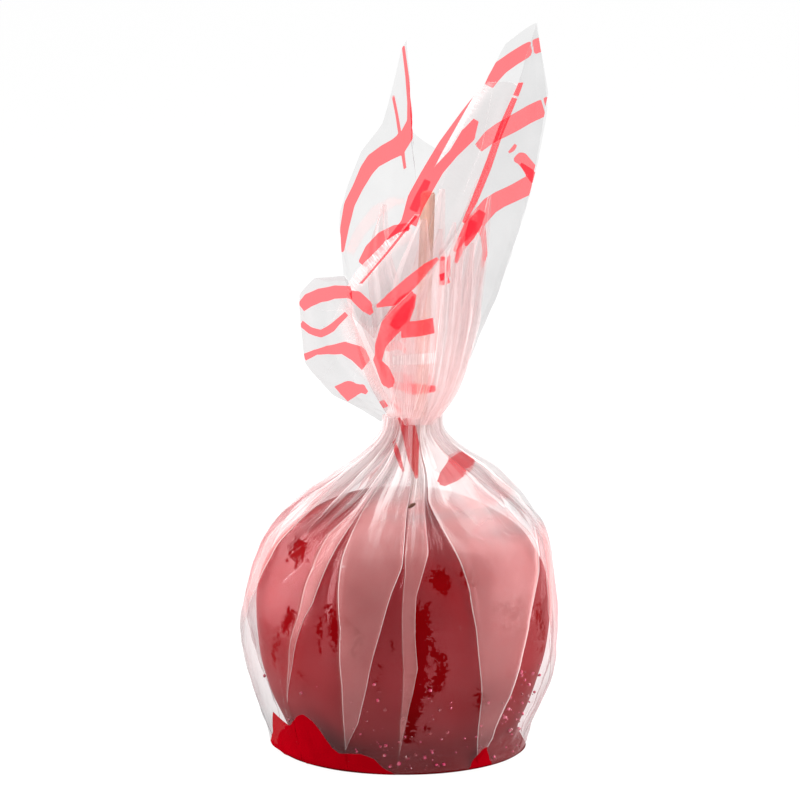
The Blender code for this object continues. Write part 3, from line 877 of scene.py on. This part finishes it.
def film_masks(tree, in_body):
    """Where the film is gathered, pleated, creased, printed, seen edge-on, and so on."""
    flat = add_node(tree, "ShaderNodeUVMap", (-900, -300), uv_map="flat_film")
    streaks = add_node(tree, "ShaderNodeGroup", (-600, -300), node_tree=film_streaks_group())
    tree.links.new(flat.outputs[0], streaks.inputs["Film"])
    grazing = add_node(tree, "ShaderNodeLayerWeight", (-300, -400), Blend=0.5)
    mask = SimpleNamespace(gathered=attribute(tree, "gathered"))
    mask.red = remap(tree, attribute(tree, "ink"), -0.06, 0.10)
    mask.crease = remap(tree, attribute(tree, "crease"), -0.10, 0.12)
    mask.pleats = maths(tree, 'MULTIPLY', streaks.outputs["Streaks"], mask.gathered)
    mask.edge_on = maths(tree, 'POWER', grazing.outputs["Facing"], EDGE_ON_POWER)
    # milky: the haze of gathered film, and a painted sheen where the film is seen edge-on
    mask.milky = maths(tree, 'MULTIPLY_ADD', mask.edge_on, 0.45, mask.gathered, clamp=True)
    # white: painted highlight on creases and pleats
    mask.white = maths(tree, 'MAXIMUM', mask.crease, maths(tree, 'MULTIPLY', mask.pleats, 0.7),
                       clamp=True)
    # blush and pink: painted pink, the red light of the toffee and print seen through the gathered layers
    blush = maths(tree, 'MULTIPLY', streaks.outputs["Blush"], mask.gathered)
    mask.pink = maths(tree, 'MAXIMUM', attribute(tree, "pink"),
                      maths(tree, 'MULTIPLY', blush, STREAK_PINK))
    if in_body:
        mask.over_apple = attribute(tree, "over_apple")
        mask.base = remap(tree, attribute(tree, "base_ink"), -0.06, 0.10)
    return mask


def film_cover(tree, mask, places, in_body, ink_cover):
    """How much the film hides, by its haze, folds, creases and print."""
    values = settings()
    cover = values.film_haze
    if in_body:
        cover = remap(tree, mask.over_apple, 0.0, 1.0, cover, 0.85 * cover)
    for part, most in ((mask.edge_on, EDGE_ON_COVER), (mask.gathered, GATHERED_COVER),
                       (mask.pleats, PLEAT_COVER),
                       (mask.crease, CREASE_COVER if in_body else MOUTH_CREASE_COVER)):
        cover = maths(tree, 'MULTIPLY_ADD', part, most, cover)
    cloud = noise(tree, places, 70.0, 3.0, 0.55)
    cover = maths(tree, 'MULTIPLY', cover, remap(tree, cloud, 0.3, 0.7, 0.8, 1.2, smooth=False))
    if in_body:
        patches = add_node(tree, "ShaderNodeGroup", (-600, 300), node_tree=stuck_patches_group())
        tree.links.new(places, patches.inputs[0])
        tree.links.new(attribute(tree, "stuck"), patches.inputs[1])
        stuck = maths(tree, 'MULTIPLY', patches.outputs[0], attribute(tree, "touching"))
        cover = maths(tree, 'MULTIPLY', cover, maths(tree, 'SUBTRACT', 1.0, stuck))
    cover = maths(tree, 'ADD', cover, attribute(tree, "thick"))
    cover = maths(tree, 'MAXIMUM', cover, maths(tree, 'MULTIPLY', mask.red, ink_cover), clamp=True)
    if in_body:
        printed = maths(tree, 'MULTIPLY', mask.base, values.base_cover)
        cover = maths(tree, 'MAXIMUM', cover, printed, clamp=True)
    return cover


def film_mirror(tree, mask, in_body):
    """Share of its light that the film mirrors, least where it is printed or milky."""
    share = MOUTH_MIRROR
    dull = [mask.red, mask.white, maths(tree, 'MULTIPLY', mask.milky, 0.7)]
    if in_body:
        share = remap(tree, mask.over_apple, 0.0, 1.0, 0.25 * BODY_MIRROR, BODY_MIRROR)
        dull.append(mask.base)
    for part in dull:
        share = maths(tree, 'MULTIPLY', maths(tree, 'SUBTRACT', 1.0, part), share, clamp=True)
    return share


def film_material(name, in_body, ink_cover):
    """Clear glossy film, milky where it is gathered, with printed red stripes; painted pink in its folds,
    painted highlights on its creases and pleats, a painted sheen where it is seen edge-on and a painted
    glow in its Emission.
    """
    material, tree, shader = new_material(name)
    values = settings()
    places = object_places(tree)
    mask = film_masks(tree, in_body)
    if in_body:
        # over_apple gives the film a painted pink tint for the toffee's red light
        colours = ((mask.milky, values.milky_and_sheen_colour), (mask.over_apple, values.veil_painted_tint),
                   (mask.pink, values.gathered_painted_pink), (mask.white, values.crease_highlight_colour),
                   (mask.red, values.faded_colour), (mask.base, values.base_colour))
        # Painted glow: Emission colours standing in for light that comes through the film, its folds and
        # its ink
        lights = ((mask.over_apple, values.veil_painted_glow), (mask.milky, values.milky_painted_glow),
                  (mask.pink, values.pink_painted_glow), (mask.white, values.crease_painted_glow),
                  (mask.red, values.faded_painted_glow), (mask.base, values.base_painted_glow))
    else:
        colours = ((mask.milky, values.milky_and_sheen_colour), (mask.pink, values.gathered_painted_pink),
                   (mask.white, values.crease_highlight_colour), (mask.red, values.stripe_colour))
        # Painted glow: Emission colours standing in for light that comes through the film, its folds and
        # its ink
        lights = ((mask.milky, values.mouth_painted_glow), (mask.pink, values.pink_painted_glow),
                  (mask.white, values.crease_painted_glow), (mask.red, values.stripe_painted_glow))
    for value, socket in (
            (film_cover(tree, mask, places, in_body, ink_cover), "Alpha"),
            (layer_colours(tree, values.film_colour, colours), "Base Color"),
            # the Emission colour is the painted glow
            (layer_colours(tree, NO_PAINTED_GLOW, lights), "Emission Color"),
            (film_mirror(tree, mask, in_body), "Metallic")):
        tree.links.new(value, shader.inputs[socket])
    shader.inputs["Emission Strength"].default_value = 1.0
    add_bump(tree, shader, noise(tree, places, 80.0, 1.5, 0.4), 0.25, 0.6)
    shader.inputs["Roughness"].default_value = 0.26
    shader.inputs["Specular IOR Level"].default_value = 0.0
    return material


def toffee_material():
    """Hard clear red toffee, with painted shade that darkens it low down."""
    material, tree, shader = new_material("toffee")
    values = settings()
    places = object_places(tree)
    apart = add_node(tree, "ShaderNodeSeparateXYZ", (-700, 0))
    tree.links.new(places, apart.inputs[0])
    # painted shade: darker towards the bottom
    low = remap(tree, apart.outputs[2], 26.0 * MM, 2.0 * MM)
    mottle = remap(tree, noise(tree, places, 60.0, 4.0, 0.55), 0.3, 0.7)
    body = layer_colours(tree, values.toffee_colour, (
        (mottle, values.toffee_light), (maths(tree, 'MULTIPLY', low, 0.75), values.toffee_low_shade)))
    tree.links.new(body, shader.inputs["Base Color"])
    shader.inputs["Roughness"].default_value = 0.4
    shader.inputs["Specular IOR Level"].default_value = 0.01
    add_bump(tree, shader, noise(tree, places, 45.0, 2.0, 0.4), 0.3, 1.2)
    return material


def stick_material():
    """Pale birch with fine grain along the stick."""
    material, tree, shader = new_material("birch_stick")
    pale = settings().stick_colour
    stretch = add_node(tree, "ShaderNodeMapping", (-700, 0), Scale=(1.0, 1.0, 0.06))
    tree.links.new(object_places(tree), stretch.inputs["Vector"])
    grain = noise(tree, stretch.outputs[0], 1400.0, 4.0, 0.6)
    colour = mix_colours(tree, remap(tree, grain, 0.35, 0.7), pale, [0.72 * c for c in pale])
    tree.links.new(colour, shader.inputs["Base Color"])
    add_bump(tree, shader, grain, 0.3, 0.1)
    shader.inputs["Roughness"].default_value = 0.6
    return material


def crumb_material():
    """Broken bits of toffee, bright where light comes through them."""
    material, tree, shader = new_material("toffee_crumbs")
    values = settings()
    vary = remap(tree, noise(tree, object_places(tree), 500.0, 1.0, 0.5), 0.4, 0.6)
    colour = mix_colours(tree, vary, values.crumb_colour, values.toffee_light)
    tree.links.new(colour, shader.inputs["Base Color"])
    shader.inputs["Roughness"].default_value = 0.15
    shader.inputs["Coat Weight"].default_value = 1.0
    return material


def speck_material():
    """Dull brown burnt sugar."""
    material, _, shader = new_material("burnt_sugar")
    shader.inputs["Base Color"].default_value = (*settings().speck_colour, 1.0)
    shader.inputs["Roughness"].default_value = 0.5
    return material


def floor_material():
    """Plain white that nearly fills itself with light."""
    material, _, shader = new_material("pale_floor")
    shader.inputs["Base Color"].default_value = (0.10, 0.10, 0.10, 1.0)
    shader.inputs["Roughness"].default_value = 0.9
    shader.inputs["Specular IOR Level"].default_value = 0.0
    shader.inputs["Emission Color"].default_value = (1.0, 1.0, 1.0, 1.0)
    shader.inputs["Emission Strength"].default_value = 0.90
    return material


# --------------------------------------------------------------- settings
def colour_setting(name, description, value):
    """A colour that a user can change."""
    return bpy.props.FloatVectorProperty(name=name, description=description, default=value,
                                         subtype='COLOR', size=3, min=0.0, max=1.0)


class ToffeeAppleSettings(bpy.types.PropertyGroup):
    """Sizes and colours of the toffee apple and its bag."""

    stick_diameter: bpy.props.FloatProperty(
        name="Stick diameter", description="Thickness of the stick",
        default=3.3 * MM, unit='LENGTH')
    film_haze: bpy.props.FloatProperty(
        name="Film haze", description="How much one flat layer of film hides",
        default=0.15, subtype='FACTOR', min=0.0, max=1.0)
    ink_cover: bpy.props.FloatProperty(
        name="Ink cover", description="How much the printed ink hides",
        default=0.78, subtype='FACTOR', min=0.0, max=1.0)
    faded_ink_cover: bpy.props.FloatProperty(
        name="Faded ink", description="How much the ink hides in gathered film",
        default=0.32, subtype='FACTOR', min=0.0, max=1.0)
    base_cover: bpy.props.FloatProperty(
        name="Base cover", description="How much the red print of the base hides",
        default=0.97, subtype='FACTOR', min=0.0, max=1.0)
    crumb_count: bpy.props.IntProperty(
        name="Crumbs", description="Loose bits of toffee in the bag", default=260, min=0)
    film_colour: colour_setting("Film", "Tint of the clear film", (0.16, 0.155, 0.16))
    # painted tint: the toffee's red light seen in the film's haze
    veil_painted_tint: colour_setting("Veil", "Tint of the film over the toffee", (0.42, 0.22, 0.23))
    # painted glow: emission standing in for light through the film over the toffee
    veil_painted_glow: colour_setting("Veil light", "Light that comes through it there", (0.40, 0.03, 0.045))
    # milky haze of gathered film, and a painted sheen where the film is seen edge-on
    milky_and_sheen_colour: colour_setting("Milky film", "Tint of the film where it is gathered", (0.55, 0.52, 0.525))
    # painted glow: emission standing in for light through the gathered film
    milky_painted_glow: colour_setting("Milky light", "Light that comes through it there", (0.09, 0.075, 0.075))
    # painted glow: emission standing in for light through the mouth's folds
    mouth_painted_glow: colour_setting("Mouth light", "Light through the mouth's folds", (0.20, 0.15, 0.15))
    # painted pink: red light of the toffee and print through the gathered film
    gathered_painted_pink: colour_setting("Gathered film", "Tint of the film in its folds", (0.64, 0.35, 0.345))
    # painted glow: emission standing in for light through the folds
    pink_painted_glow: colour_setting("Pink light", "Light that comes through its folds", (0.27, 0.10, 0.095))
    # painted highlight: the pale colour of creases and pleats
    crease_highlight_colour: colour_setting("Crease", "Pale tint of a crease", (0.88, 0.84, 0.83))
    # painted glow: emission that paints a highlight into creases and pleats
    crease_painted_glow: colour_setting("Crease light", "Light caught in a crease", (0.12, 0.11, 0.11))
    stripe_colour: colour_setting("Stripes", "Red of the printed ink", (0.30, 0.004, 0.010))
    # painted glow: emission standing in for light through the red ink
    stripe_painted_glow: colour_setting("Stripe light", "Light that comes through the ink", (0.80, 0.010, 0.026))
    faded_colour: colour_setting("Faded stripes", "Red of the ink in the shoulder", (0.42, 0.08, 0.085))
    # painted glow: emission standing in for light through the faded ink
    faded_painted_glow: colour_setting("Faded light", "Light that comes through it there", (0.25, 0.03, 0.035))
    base_colour: colour_setting("Base print", "Red of the bag's base", (0.21, 0.0, 0.003))
    # painted glow: emission standing in for light through the printed base
    base_painted_glow: colour_setting("Base light", "Light that comes through its base", (0.11, 0.0, 0.001))
    toffee_colour: colour_setting("Toffee", "Deep red of the toffee", (0.165, 0.0004, 0.001))
    toffee_light: colour_setting("Thin toffee", "Red where the toffee is thin", (0.195, 0.001, 0.003))
    # painted shade low down on the toffee
    toffee_low_shade: colour_setting("Thick toffee", "Red low down, where it is thick", (0.085, 0.0008, 0.0015))
    stick_colour: colour_setting("Stick", "Pale wood", (0.92, 0.56, 0.42))
    speck_colour: colour_setting("Speck", "Brown of burnt sugar", (0.10, 0.028, 0.012))
    crumb_colour: colour_setting("Crumb", "Pinkish red of thin crumbs", (0.62, 0.03, 0.12))


# -------------------------------------------------------------- operators
class TOFFEEAPPLE_OT_apple(bpy.types.Operator):
    """Add the toffee-coated apple"""

    bl_idname = "toffee_apple.apple"
    bl_label = "Apple"

    def execute(self, context):
        bpy.ops.object.select_all(action='DESELECT')
        bpy.ops.mesh.primitive_uv_sphere_add(segments=192, ring_count=128, radius=1.0)
        apple = context.object
        apple.name = apple.data.name = "toffee_apple"
        outline = np.vstack([[(0.1, 0.0)], APPLE_OUTLINE, [(61.5, 0.0)]])
        run = np.concatenate([[0.0], np.cumsum(np.linalg.norm(np.diff(outline, axis=0), axis=1))])
        profile = np.column_stack([run / run[-1], outline])
        points = np.empty(len(apple.data.vertices) * 3, dtype=np.float32)
        apple.data.vertices.foreach_get("co", points)
        points = points.reshape(-1, 3).astype(float)
        share = 1.0 - np.arccos(np.clip(points[:, 2], -1.0, 1.0)) / math.pi
        angle = np.arctan2(points[:, 1], points[:, 0])
        place = smooth_rows(profile, share)
        height, radius = place[:, 0], np.maximum(place[:, 1], 0.0)
        ribs = RIB_DEPTH * np.cos(APPLE_RIBS * angle + 0.6) * smooth_step(20.0, 60.0, height)
        lumps = LUMP_DEPTH * soft_lumps(radius * np.cos(angle), radius * np.sin(angle), height,
                                        LUMP_GRAIN, 5)
        reach = radius * (0.994 + ribs) + (lumps - 0.1) * smooth_step(0.0, 12.0, radius)
        points[:, 0] = APPLE_CENTRE + reach * np.cos(angle)
        points[:, 1] = reach * np.sin(angle)
        points[:, 2] = np.maximum(height, 0.1)
        apple.data.vertices.foreach_set("co", (points * MM).reshape(-1).astype(np.float32))
        apple.data.update()
        apple.data.shade_smooth()
        finish_piece(apple, toffee_material())
        return {'FINISHED'}


class TOFFEEAPPLE_OT_stick(bpy.types.Operator):
    """Add the wooden stick"""

    bl_idname = "toffee_apple.stick"
    bl_label = "Stick"

    def execute(self, context):
        length = (STICK_TOP - STICK_FOOT).length
        bpy.ops.object.select_all(action='DESELECT')
        bpy.ops.mesh.primitive_cylinder_add(vertices=40, radius=settings().stick_diameter / 2.0,
                                            depth=length * MM)
        stick = context.object
        stick.name = stick.data.name = "stick"
        only_this(stick)
        bpy.ops.object.mode_set(mode='EDIT')
        bpy.ops.mesh.select_all(action='SELECT')
        bpy.ops.mesh.bevel(offset=STICK_ROUND * MM, segments=4, affect='EDGES')
        bpy.ops.object.mode_set(mode='OBJECT')
        stick.data.shade_smooth()
        stick.location = (STICK_FOOT + STICK_TOP) / 2.0 * MM
        stick.rotation_mode = 'QUATERNION'
        stick.rotation_quaternion = (STICK_TOP - STICK_FOOT).to_track_quat('Z', 'Y')
        finish_piece(stick, stick_material())
        return {'FINISHED'}


class TOFFEEAPPLE_OT_body_film(bpy.types.Operator):
    """Add the film of the bag's body, with its laid-over folds"""

    bl_idname = "toffee_apple.body_film"
    bl_label = "Body film"

    def execute(self, context):
        points, middle_bearing, fold_line = body_film_points()
        columns = points.shape[1]
        around = np.linspace(0.0, 1.0, columns)[None, :]
        along = (points[:, :, 2].mean(axis=1) / 100.0)[:, None]
        film = sheet_from_points("body_film", points, around, along)
        x, y, z = np.moveaxis(points, -1, 0)
        loose = np.broadcast_to(loose_columns(), z.shape)
        mark_points(film, "touching", 1.0 - loose)
        mark_points(film, "stuck", stuck_reach(x, y, z))
        base = np.interp(middle_bearing, BASE_PRINT[:, 0], BASE_PRINT[:, 1]) - z
        mark_points(film, "base_ink", 0.8 * base)
        mark_points(film, "ink", np.where(y < 0.0, band_reach(x, z, SHOULDER_STRIPES), -9.0))
        # crease: fold edges and fine creases, drawn with a painted highlight
        fine = np.where((y < FINE_CREASE_DEPTH) & (loose < 0.5),
                        line_reach(x, z, FINE_CREASES, FINE_CREASE_WIDTH), NO_CREASE)
        mark_points(film, "crease", np.maximum(fold_line, fine))
        clearance = np.interp(z, *np.transpose(VEIL_CLEARANCE))
        gap = np.hypot(x - APPLE_CENTRE, y) - apple_radius(z)
        over_apple = 1.0 - smooth_step(clearance - 3.5, clearance, gap)
        over_apple = (over_apple * (1.0 - smooth_step(64.0, 74.0, z))
                      * (0.4 + 0.6 * smooth_step(1.0, 14.0, z)))
        mark_points(film, "gathered", smooth_step(50.0, 74.0, z))
        mark_points(film, "over_apple", over_apple * (1.0 - loose))
        # pink: painted pink over the toffee in the loose layers of the folds, and round the neck
        mark_points(film, "pink", np.maximum(0.9 * loose * over_apple, 0.22 * smooth_step(66.0, 84.0, z)))
        only_this(film)
        bpy.ops.object.mode_set(mode='EDIT')
        bpy.ops.mesh.select_all(action='SELECT')
        bpy.ops.mesh.remove_doubles(threshold=1e-7)
        bpy.ops.object.mode_set(mode='OBJECT')
        finish_piece(film, film_material("body_film", True, settings().faded_ink_cover))
        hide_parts("bag")
        return {'FINISHED'}


def film_sheet(name, points, stripes, seals, creases, gathered, pink, thick=0.0):
    """One sheet of the mouth's film, with its print and creases marked on it."""
    columns, rows = points.shape[:2]
    around = np.linspace(0.0, 1.0, columns)[:, None]
    along = np.linspace(0.0, 1.0, rows)[None, :]
    sheet = sheet_from_points(name, points, around, along)
    x, _, z = np.moveaxis(points, -1, 0)
    ink = band_reach(x, z, stripes)
    if seals:
        ink = np.minimum(ink, -line_reach(x, z, seals, SEAL_WIDTH))
    mark_points(sheet, "ink", ink)
    crease = line_reach(x, z, creases, FINE_CREASE_WIDTH)
    # the sheet's cut edges are marked as creases, with a painted highlight
    crease[0] = crease[-1] = CREASE_WIDTH / 2.0
    crease[:, -1] = CREASE_WIDTH / 2.0
    mark_points(sheet, "crease", crease)
    mark_points(sheet, "thick", np.broadcast_to(thick, ink.shape))
    near_neck = 1.0 - smooth_step(0.02, 0.40, along)
    mark_points(sheet, "gathered", np.broadcast_to(np.maximum(gathered, near_neck), ink.shape))
    mark_points(sheet, "pink", np.broadcast_to(np.maximum(pink, 0.6 * near_neck), ink.shape))
    return sheet


def joined(pieces, name):
    """Several pieces made into one."""
    bpy.ops.object.select_all(action='DESELECT')
    for piece in pieces:
        piece.select_set(True)
    bpy.context.view_layer.objects.active = pieces[0]
    if len(pieces) > 1:
        bpy.ops.object.join()
    whole = bpy.context.object
    whole.name = whole.data.name = name
    return whole


def finish_mouth_film(sheets, name, ink_cover):
    """Join some sheets of the mouth's film into one finished piece."""
    finish_piece(joined(sheets, name), film_material(name, False, ink_cover))


def mouth_back():
    """The back sheet, from the narrow ear to the tall ear."""
    back = creased_sheet(smooth_grid(BACK_SHEET, 240, 150), 0.75, 31)
    pale = smooth_step(-0.3, 0.3, band_reach(back[..., 0], back[..., 2], PALE_STRIPES))
    sheet = film_sheet("back_sheet", back, BACK_STRIPES, BACK_SEALS, [], 0.0, 0.9 * pale, 0.12 * pale)
    finish_mouth_film([sheet], "mouth_back", settings().ink_cover)


def mouth_front():
    """The front sheets: the right edge, the sash, the lobe, the sheet under them and ribbons."""
    right = creased_sheet(smooth_grid(RIGHT_SHEET, 90, 170), 0.6, 41)
    sash = creased_sheet(smooth_grid(SASH_SHEET, 200, 90), 0.5, 51)
    lobe = creased_sheet(smooth_grid(LOBE_SHEET, 170, 100), 0.6, 61)
    under = creased_sheet(smooth_grid(UNDER_SHEET, 90, 150), 0.6, 71)
    low_sash = 1.0 - smooth_step(130.0, 140.0, sash[..., 2])
    low = 1.0 - smooth_step(107.0, 113.0, under[..., 2])
    clean = smooth_step(-0.2, 0.2, band_reach(under[..., 0], under[..., 2], CLEAN_STRIPES))
    sheets = [
        film_sheet("right_sheet", right, RIGHT_STRIPES, [], [], 0.0, 0.0),
        film_sheet("sash", sash, SASH_STRIPES, [], SASH_CREASES, 0.1, 0.25, 0.18 * low_sash),
        film_sheet("lobe", lobe, LOBE_STRIPES, [], LOBE_CREASES, 0.0, 0.08, 0.10),
        film_sheet("under_sheet", under, UNDER_STRIPES, [], UNDER_CREASES, 0.6 + 0.3 * clean,
                   0.4 + 0.45 * low * (1.0 - 0.8 * clean), 0.14 * low + 0.12 * clean),
    ]
    for index, rows in enumerate(NARROW_FOLDS):
        points = long_fold(rows, 50 + index).swapaxes(0, 1)
        sheets.append(film_sheet("fold", points, NARROW_STRIPES, NARROW_SEALS, [], 0.1, 0.3))
    finish_mouth_film(sheets, "mouth_front", settings().ink_cover)


def inner_film():
    """The crumpled folds that stand round the stick."""
    sheets = []
    for index, rows in enumerate(INNER_FOLDS):
        points = creased_sheet(long_fold(rows, index).swapaxes(0, 1), 0.7, 200 + index)
        sheets.append(film_sheet("fold", points, INNER_STRIPES, [], [], 0.9, 0.45))
    finish_mouth_film(sheets, "inner_film", settings().faded_ink_cover)


class TOFFEEAPPLE_OT_mouth_film(bpy.types.Operator):
    """Add the film of the bag's flared mouth"""

    bl_idname = "toffee_apple.mouth_film"
    bl_label = "Mouth film"

    def execute(self, context):
        mouth_back()
        mouth_front()
        inner_film()
        return {'FINISHED'}


class TOFFEEAPPLE_OT_crumbs(bpy.types.Operator):
    """Add the loose crumbs of toffee"""

    bl_idname = "toffee_apple.crumbs"
    bl_label = "Crumbs"

    def execute(self, context):
        draw = random.Random(21)
        crumbs = []
        for index in range(settings().crumb_count):
            size = 0.14 + 0.5 * draw.random() ** 2
            bpy.ops.object.select_all(action='DESELECT')
            bpy.ops.mesh.primitive_ico_sphere_add(subdivisions=1, radius=size * MM)
            crumb = context.object
            for vertex in crumb.data.vertices:
                vertex.co *= draw.uniform(0.6, 1.15)
            height = 0.9 + 24.0 * draw.random() ** 2.2
            bearing = draw.choice((draw.uniform(-180.0, 180.0), draw.uniform(-25.0, 20.0),
                                   draw.uniform(35.0, 80.0)))
            middle, radius = body_middle_and_radius(np.array([height]))
            skin = float(apple_radius(height))
            reach = min(skin + size * 0.8, float(radius[0]) * DEPTH_OF_WIDTH - 0.2)
            turn = math.radians(bearing)
            crumb.location = Vector((APPLE_CENTRE + reach * math.sin(turn),
                                     -reach * math.cos(turn), max(height, size))) * MM
            crumbs.append(crumb)
        finish_piece(joined(crumbs, "crumbs"), crumb_material())
        return {'FINISHED'}


class TOFFEEAPPLE_OT_speck(bpy.types.Operator):
    """Add the one brown speck of burnt sugar that sticks to the film below the neck"""

    bl_idname = "toffee_apple.speck"
    bl_label = "Brown speck"

    def execute(self, context):
        points = body_film_points()[0].reshape(-1, 3)
        points = points[points[:, 1] < 0.0]
        near = np.hypot(points[:, 0] - SPECK_PLACE[0], points[:, 2] - SPECK_PLACE[1]) < 0.8
        place = Vector(min(points[near], key=lambda point: point[1]))
        bpy.ops.object.select_all(action='DESELECT')
        bpy.ops.mesh.primitive_ico_sphere_add(subdivisions=2, radius=1.0)
        speck = context.object
        speck.name = speck.data.name = "brown_speck"
        speck.scale = Vector(SPECK_SIZE) * 0.5 * MM
        speck.rotation_euler = (0.0, math.radians(-28.0), 0.0)
        speck.location = (place + Vector((0.0, -0.35, 0.0))) * MM
        finish_piece(speck, speck_material())
        return {'FINISHED'}


class TOFFEEAPPLE_OT_stage(bpy.types.Operator):
    """Add the floor, the lights and the camera"""

    bl_idname = "toffee_apple.stage"
    bl_label = "Stage"

    def execute(self, context):
        self.floor()
        self.lights(context)
        self.camera(context)
        return {'FINISHED'}

    def floor(self):
        """A plain pale floor that sweeps up into a backdrop."""
        bpy.ops.object.select_all(action='DESELECT')
        bpy.ops.mesh.primitive_plane_add(size=1.0)
        floor = bpy.context.object
        floor.name = floor.data.name = "floor"
        floor.scale = (5.0, 3.0, 1.0)
        floor.location = (0.0, 0.3, 0.0)
        only_this(floor)
        bpy.ops.object.transform_apply(location=True, rotation=True, scale=True)
        bpy.ops.object.mode_set(mode='EDIT')
        bpy.ops.mesh.select_mode(type='EDGE')
        bpy.ops.mesh.select_all(action='DESELECT')
        bpy.ops.object.mode_set(mode='OBJECT')
        for edge in floor.data.edges:
            edge.select = all(floor.data.vertices[v].co.y > 1.7 for v in edge.vertices)
        bpy.ops.object.mode_set(mode='EDIT')
        bpy.ops.mesh.extrude_region_move(TRANSFORM_OT_translate={"value": (0.0, 0.0, 3.0)})
        bpy.ops.object.mode_set(mode='OBJECT')
        for edge in floor.data.edges:
            ends = [floor.data.vertices[v].co for v in edge.vertices]
            edge.select = all(end.y > 1.7 and end.z < 0.1 for end in ends)
        bpy.ops.object.mode_set(mode='EDIT')
        bpy.ops.mesh.bevel(offset=0.9, segments=24, affect='EDGES')
        bpy.ops.object.mode_set(mode='OBJECT')
        floor.data.shade_smooth()
        floor.data.materials.append(floor_material())

    def lights(self, context):
        """A bright tent, dim at the front, with a large soft light at each side."""
        world = bpy.data.worlds.new("tent")
        world.use_nodes = True
        tree = world.node_tree
        background = tree.nodes["Background"]
        ways = add_node(tree, "ShaderNodeTexCoord", (-900, 0))
        apart = add_node(tree, "ShaderNodeSeparateXYZ", (-700, 0))
        tree.links.new(ways.outputs["Generated"], apart.inputs[0])
        bright = remap(tree, apart.outputs[1], -0.75, 0.1, 0.5, 0.95)
        tree.links.new(bright, background.inputs["Strength"])
        background.inputs["Color"].default_value = (1.0, 1.0, 1.0, 1.0)
        context.scene.world = world
        for name, place, width, height, power in (
                ("left_light", (-620.0, 60.0, 300.0), 620.0, 800.0, 11.0),
                ("right_light", (620.0, -20.0, 340.0), 560.0, 900.0, 8.5),
                ("top_light", (0.0, 150.0, 800.0), 800.0, 500.0, 3.5)):
            lamp = bpy.data.lights.new(name, 'AREA')
            lamp.shape = 'RECTANGLE'
            lamp.size = width * MM
            lamp.size_y = height * MM
            lamp.energy = power
            light = bpy.data.objects.new(name, lamp)
            context.collection.objects.link(light)
            light.location = Vector(place) * MM
            aim = Vector((0.0, 0.0, 60.0)) * MM - light.location
            light.rotation_euler = aim.to_track_quat('-Z', 'Y').to_euler()

    def camera(self, context):
        """A long lens a little above level."""
        lens = bpy.data.cameras.new("camera")
        lens.sensor_width = SENSOR
        lens.lens = SENSOR * CAMERA_DISTANCE / FRAME_WIDTH
        lens.clip_start = 0.05
        lens.clip_end = 20.0
        camera = bpy.data.objects.new("camera", lens)
        context.collection.objects.link(camera)
        rise = math.radians(CAMERA_RISE)
        aim = Vector((0.0, 0.0, AIM_HEIGHT))
        back = Vector((0.0, -math.cos(rise), math.sin(rise))) * CAMERA_DISTANCE
        camera.location = (aim + back) * MM
        camera.rotation_euler = (-back).to_track_quat('-Z', 'Y').to_euler()
        context.scene.camera = camera
        context.scene.view_settings.view_transform = 'Standard'
        context.scene.cycles.transparent_max_bounces = 64


class TOFFEEAPPLE_PT_panel(bpy.types.Panel):
    """Buttons for each piece of the toffee apple"""

    bl_idname = "TOFFEEAPPLE_PT_panel"
    bl_label = "Toffee Apple"
    bl_space_type = 'VIEW_3D'
    bl_region_type = 'UI'
    bl_category = "Toffee Apple"

    def draw(self, context):
        layout = self.layout
        for name in ToffeeAppleSettings.__annotations__:
            layout.prop(context.scene.toffee_apple, name)
        for operator in OPERATORS:
            layout.operator(operator.bl_idname)


OPERATORS = (
    TOFFEEAPPLE_OT_apple,
    TOFFEEAPPLE_OT_stick,
    TOFFEEAPPLE_OT_crumbs,
    TOFFEEAPPLE_OT_body_film,
    TOFFEEAPPLE_OT_mouth_film,
    TOFFEEAPPLE_OT_speck,
    TOFFEEAPPLE_OT_stage,
)
CLASSES = (ToffeeAppleSettings, *OPERATORS, TOFFEEAPPLE_PT_panel)


def register():
    """Register the settings, the operators and the panel."""
    for part in CLASSES:
        bpy.utils.register_class(part)
    bpy.types.Scene.toffee_apple = bpy.props.PointerProperty(type=ToffeeAppleSettings)


def unregister():
    """Take back what register added."""
    del bpy.types.Scene.toffee_apple
    for part in reversed(CLASSES):
        bpy.utils.unregister_class(part)


def main():
    """Build every piece in order."""
    register()
    bpy.ops.toffee_apple.apple()
    bpy.ops.toffee_apple.stick()
    bpy.ops.toffee_apple.crumbs()
    bpy.ops.toffee_apple.body_film()
    bpy.ops.toffee_apple.mouth_film()
    bpy.ops.toffee_apple.speck()
    bpy.ops.toffee_apple.stage()


if __name__ == "__main__":
    main()
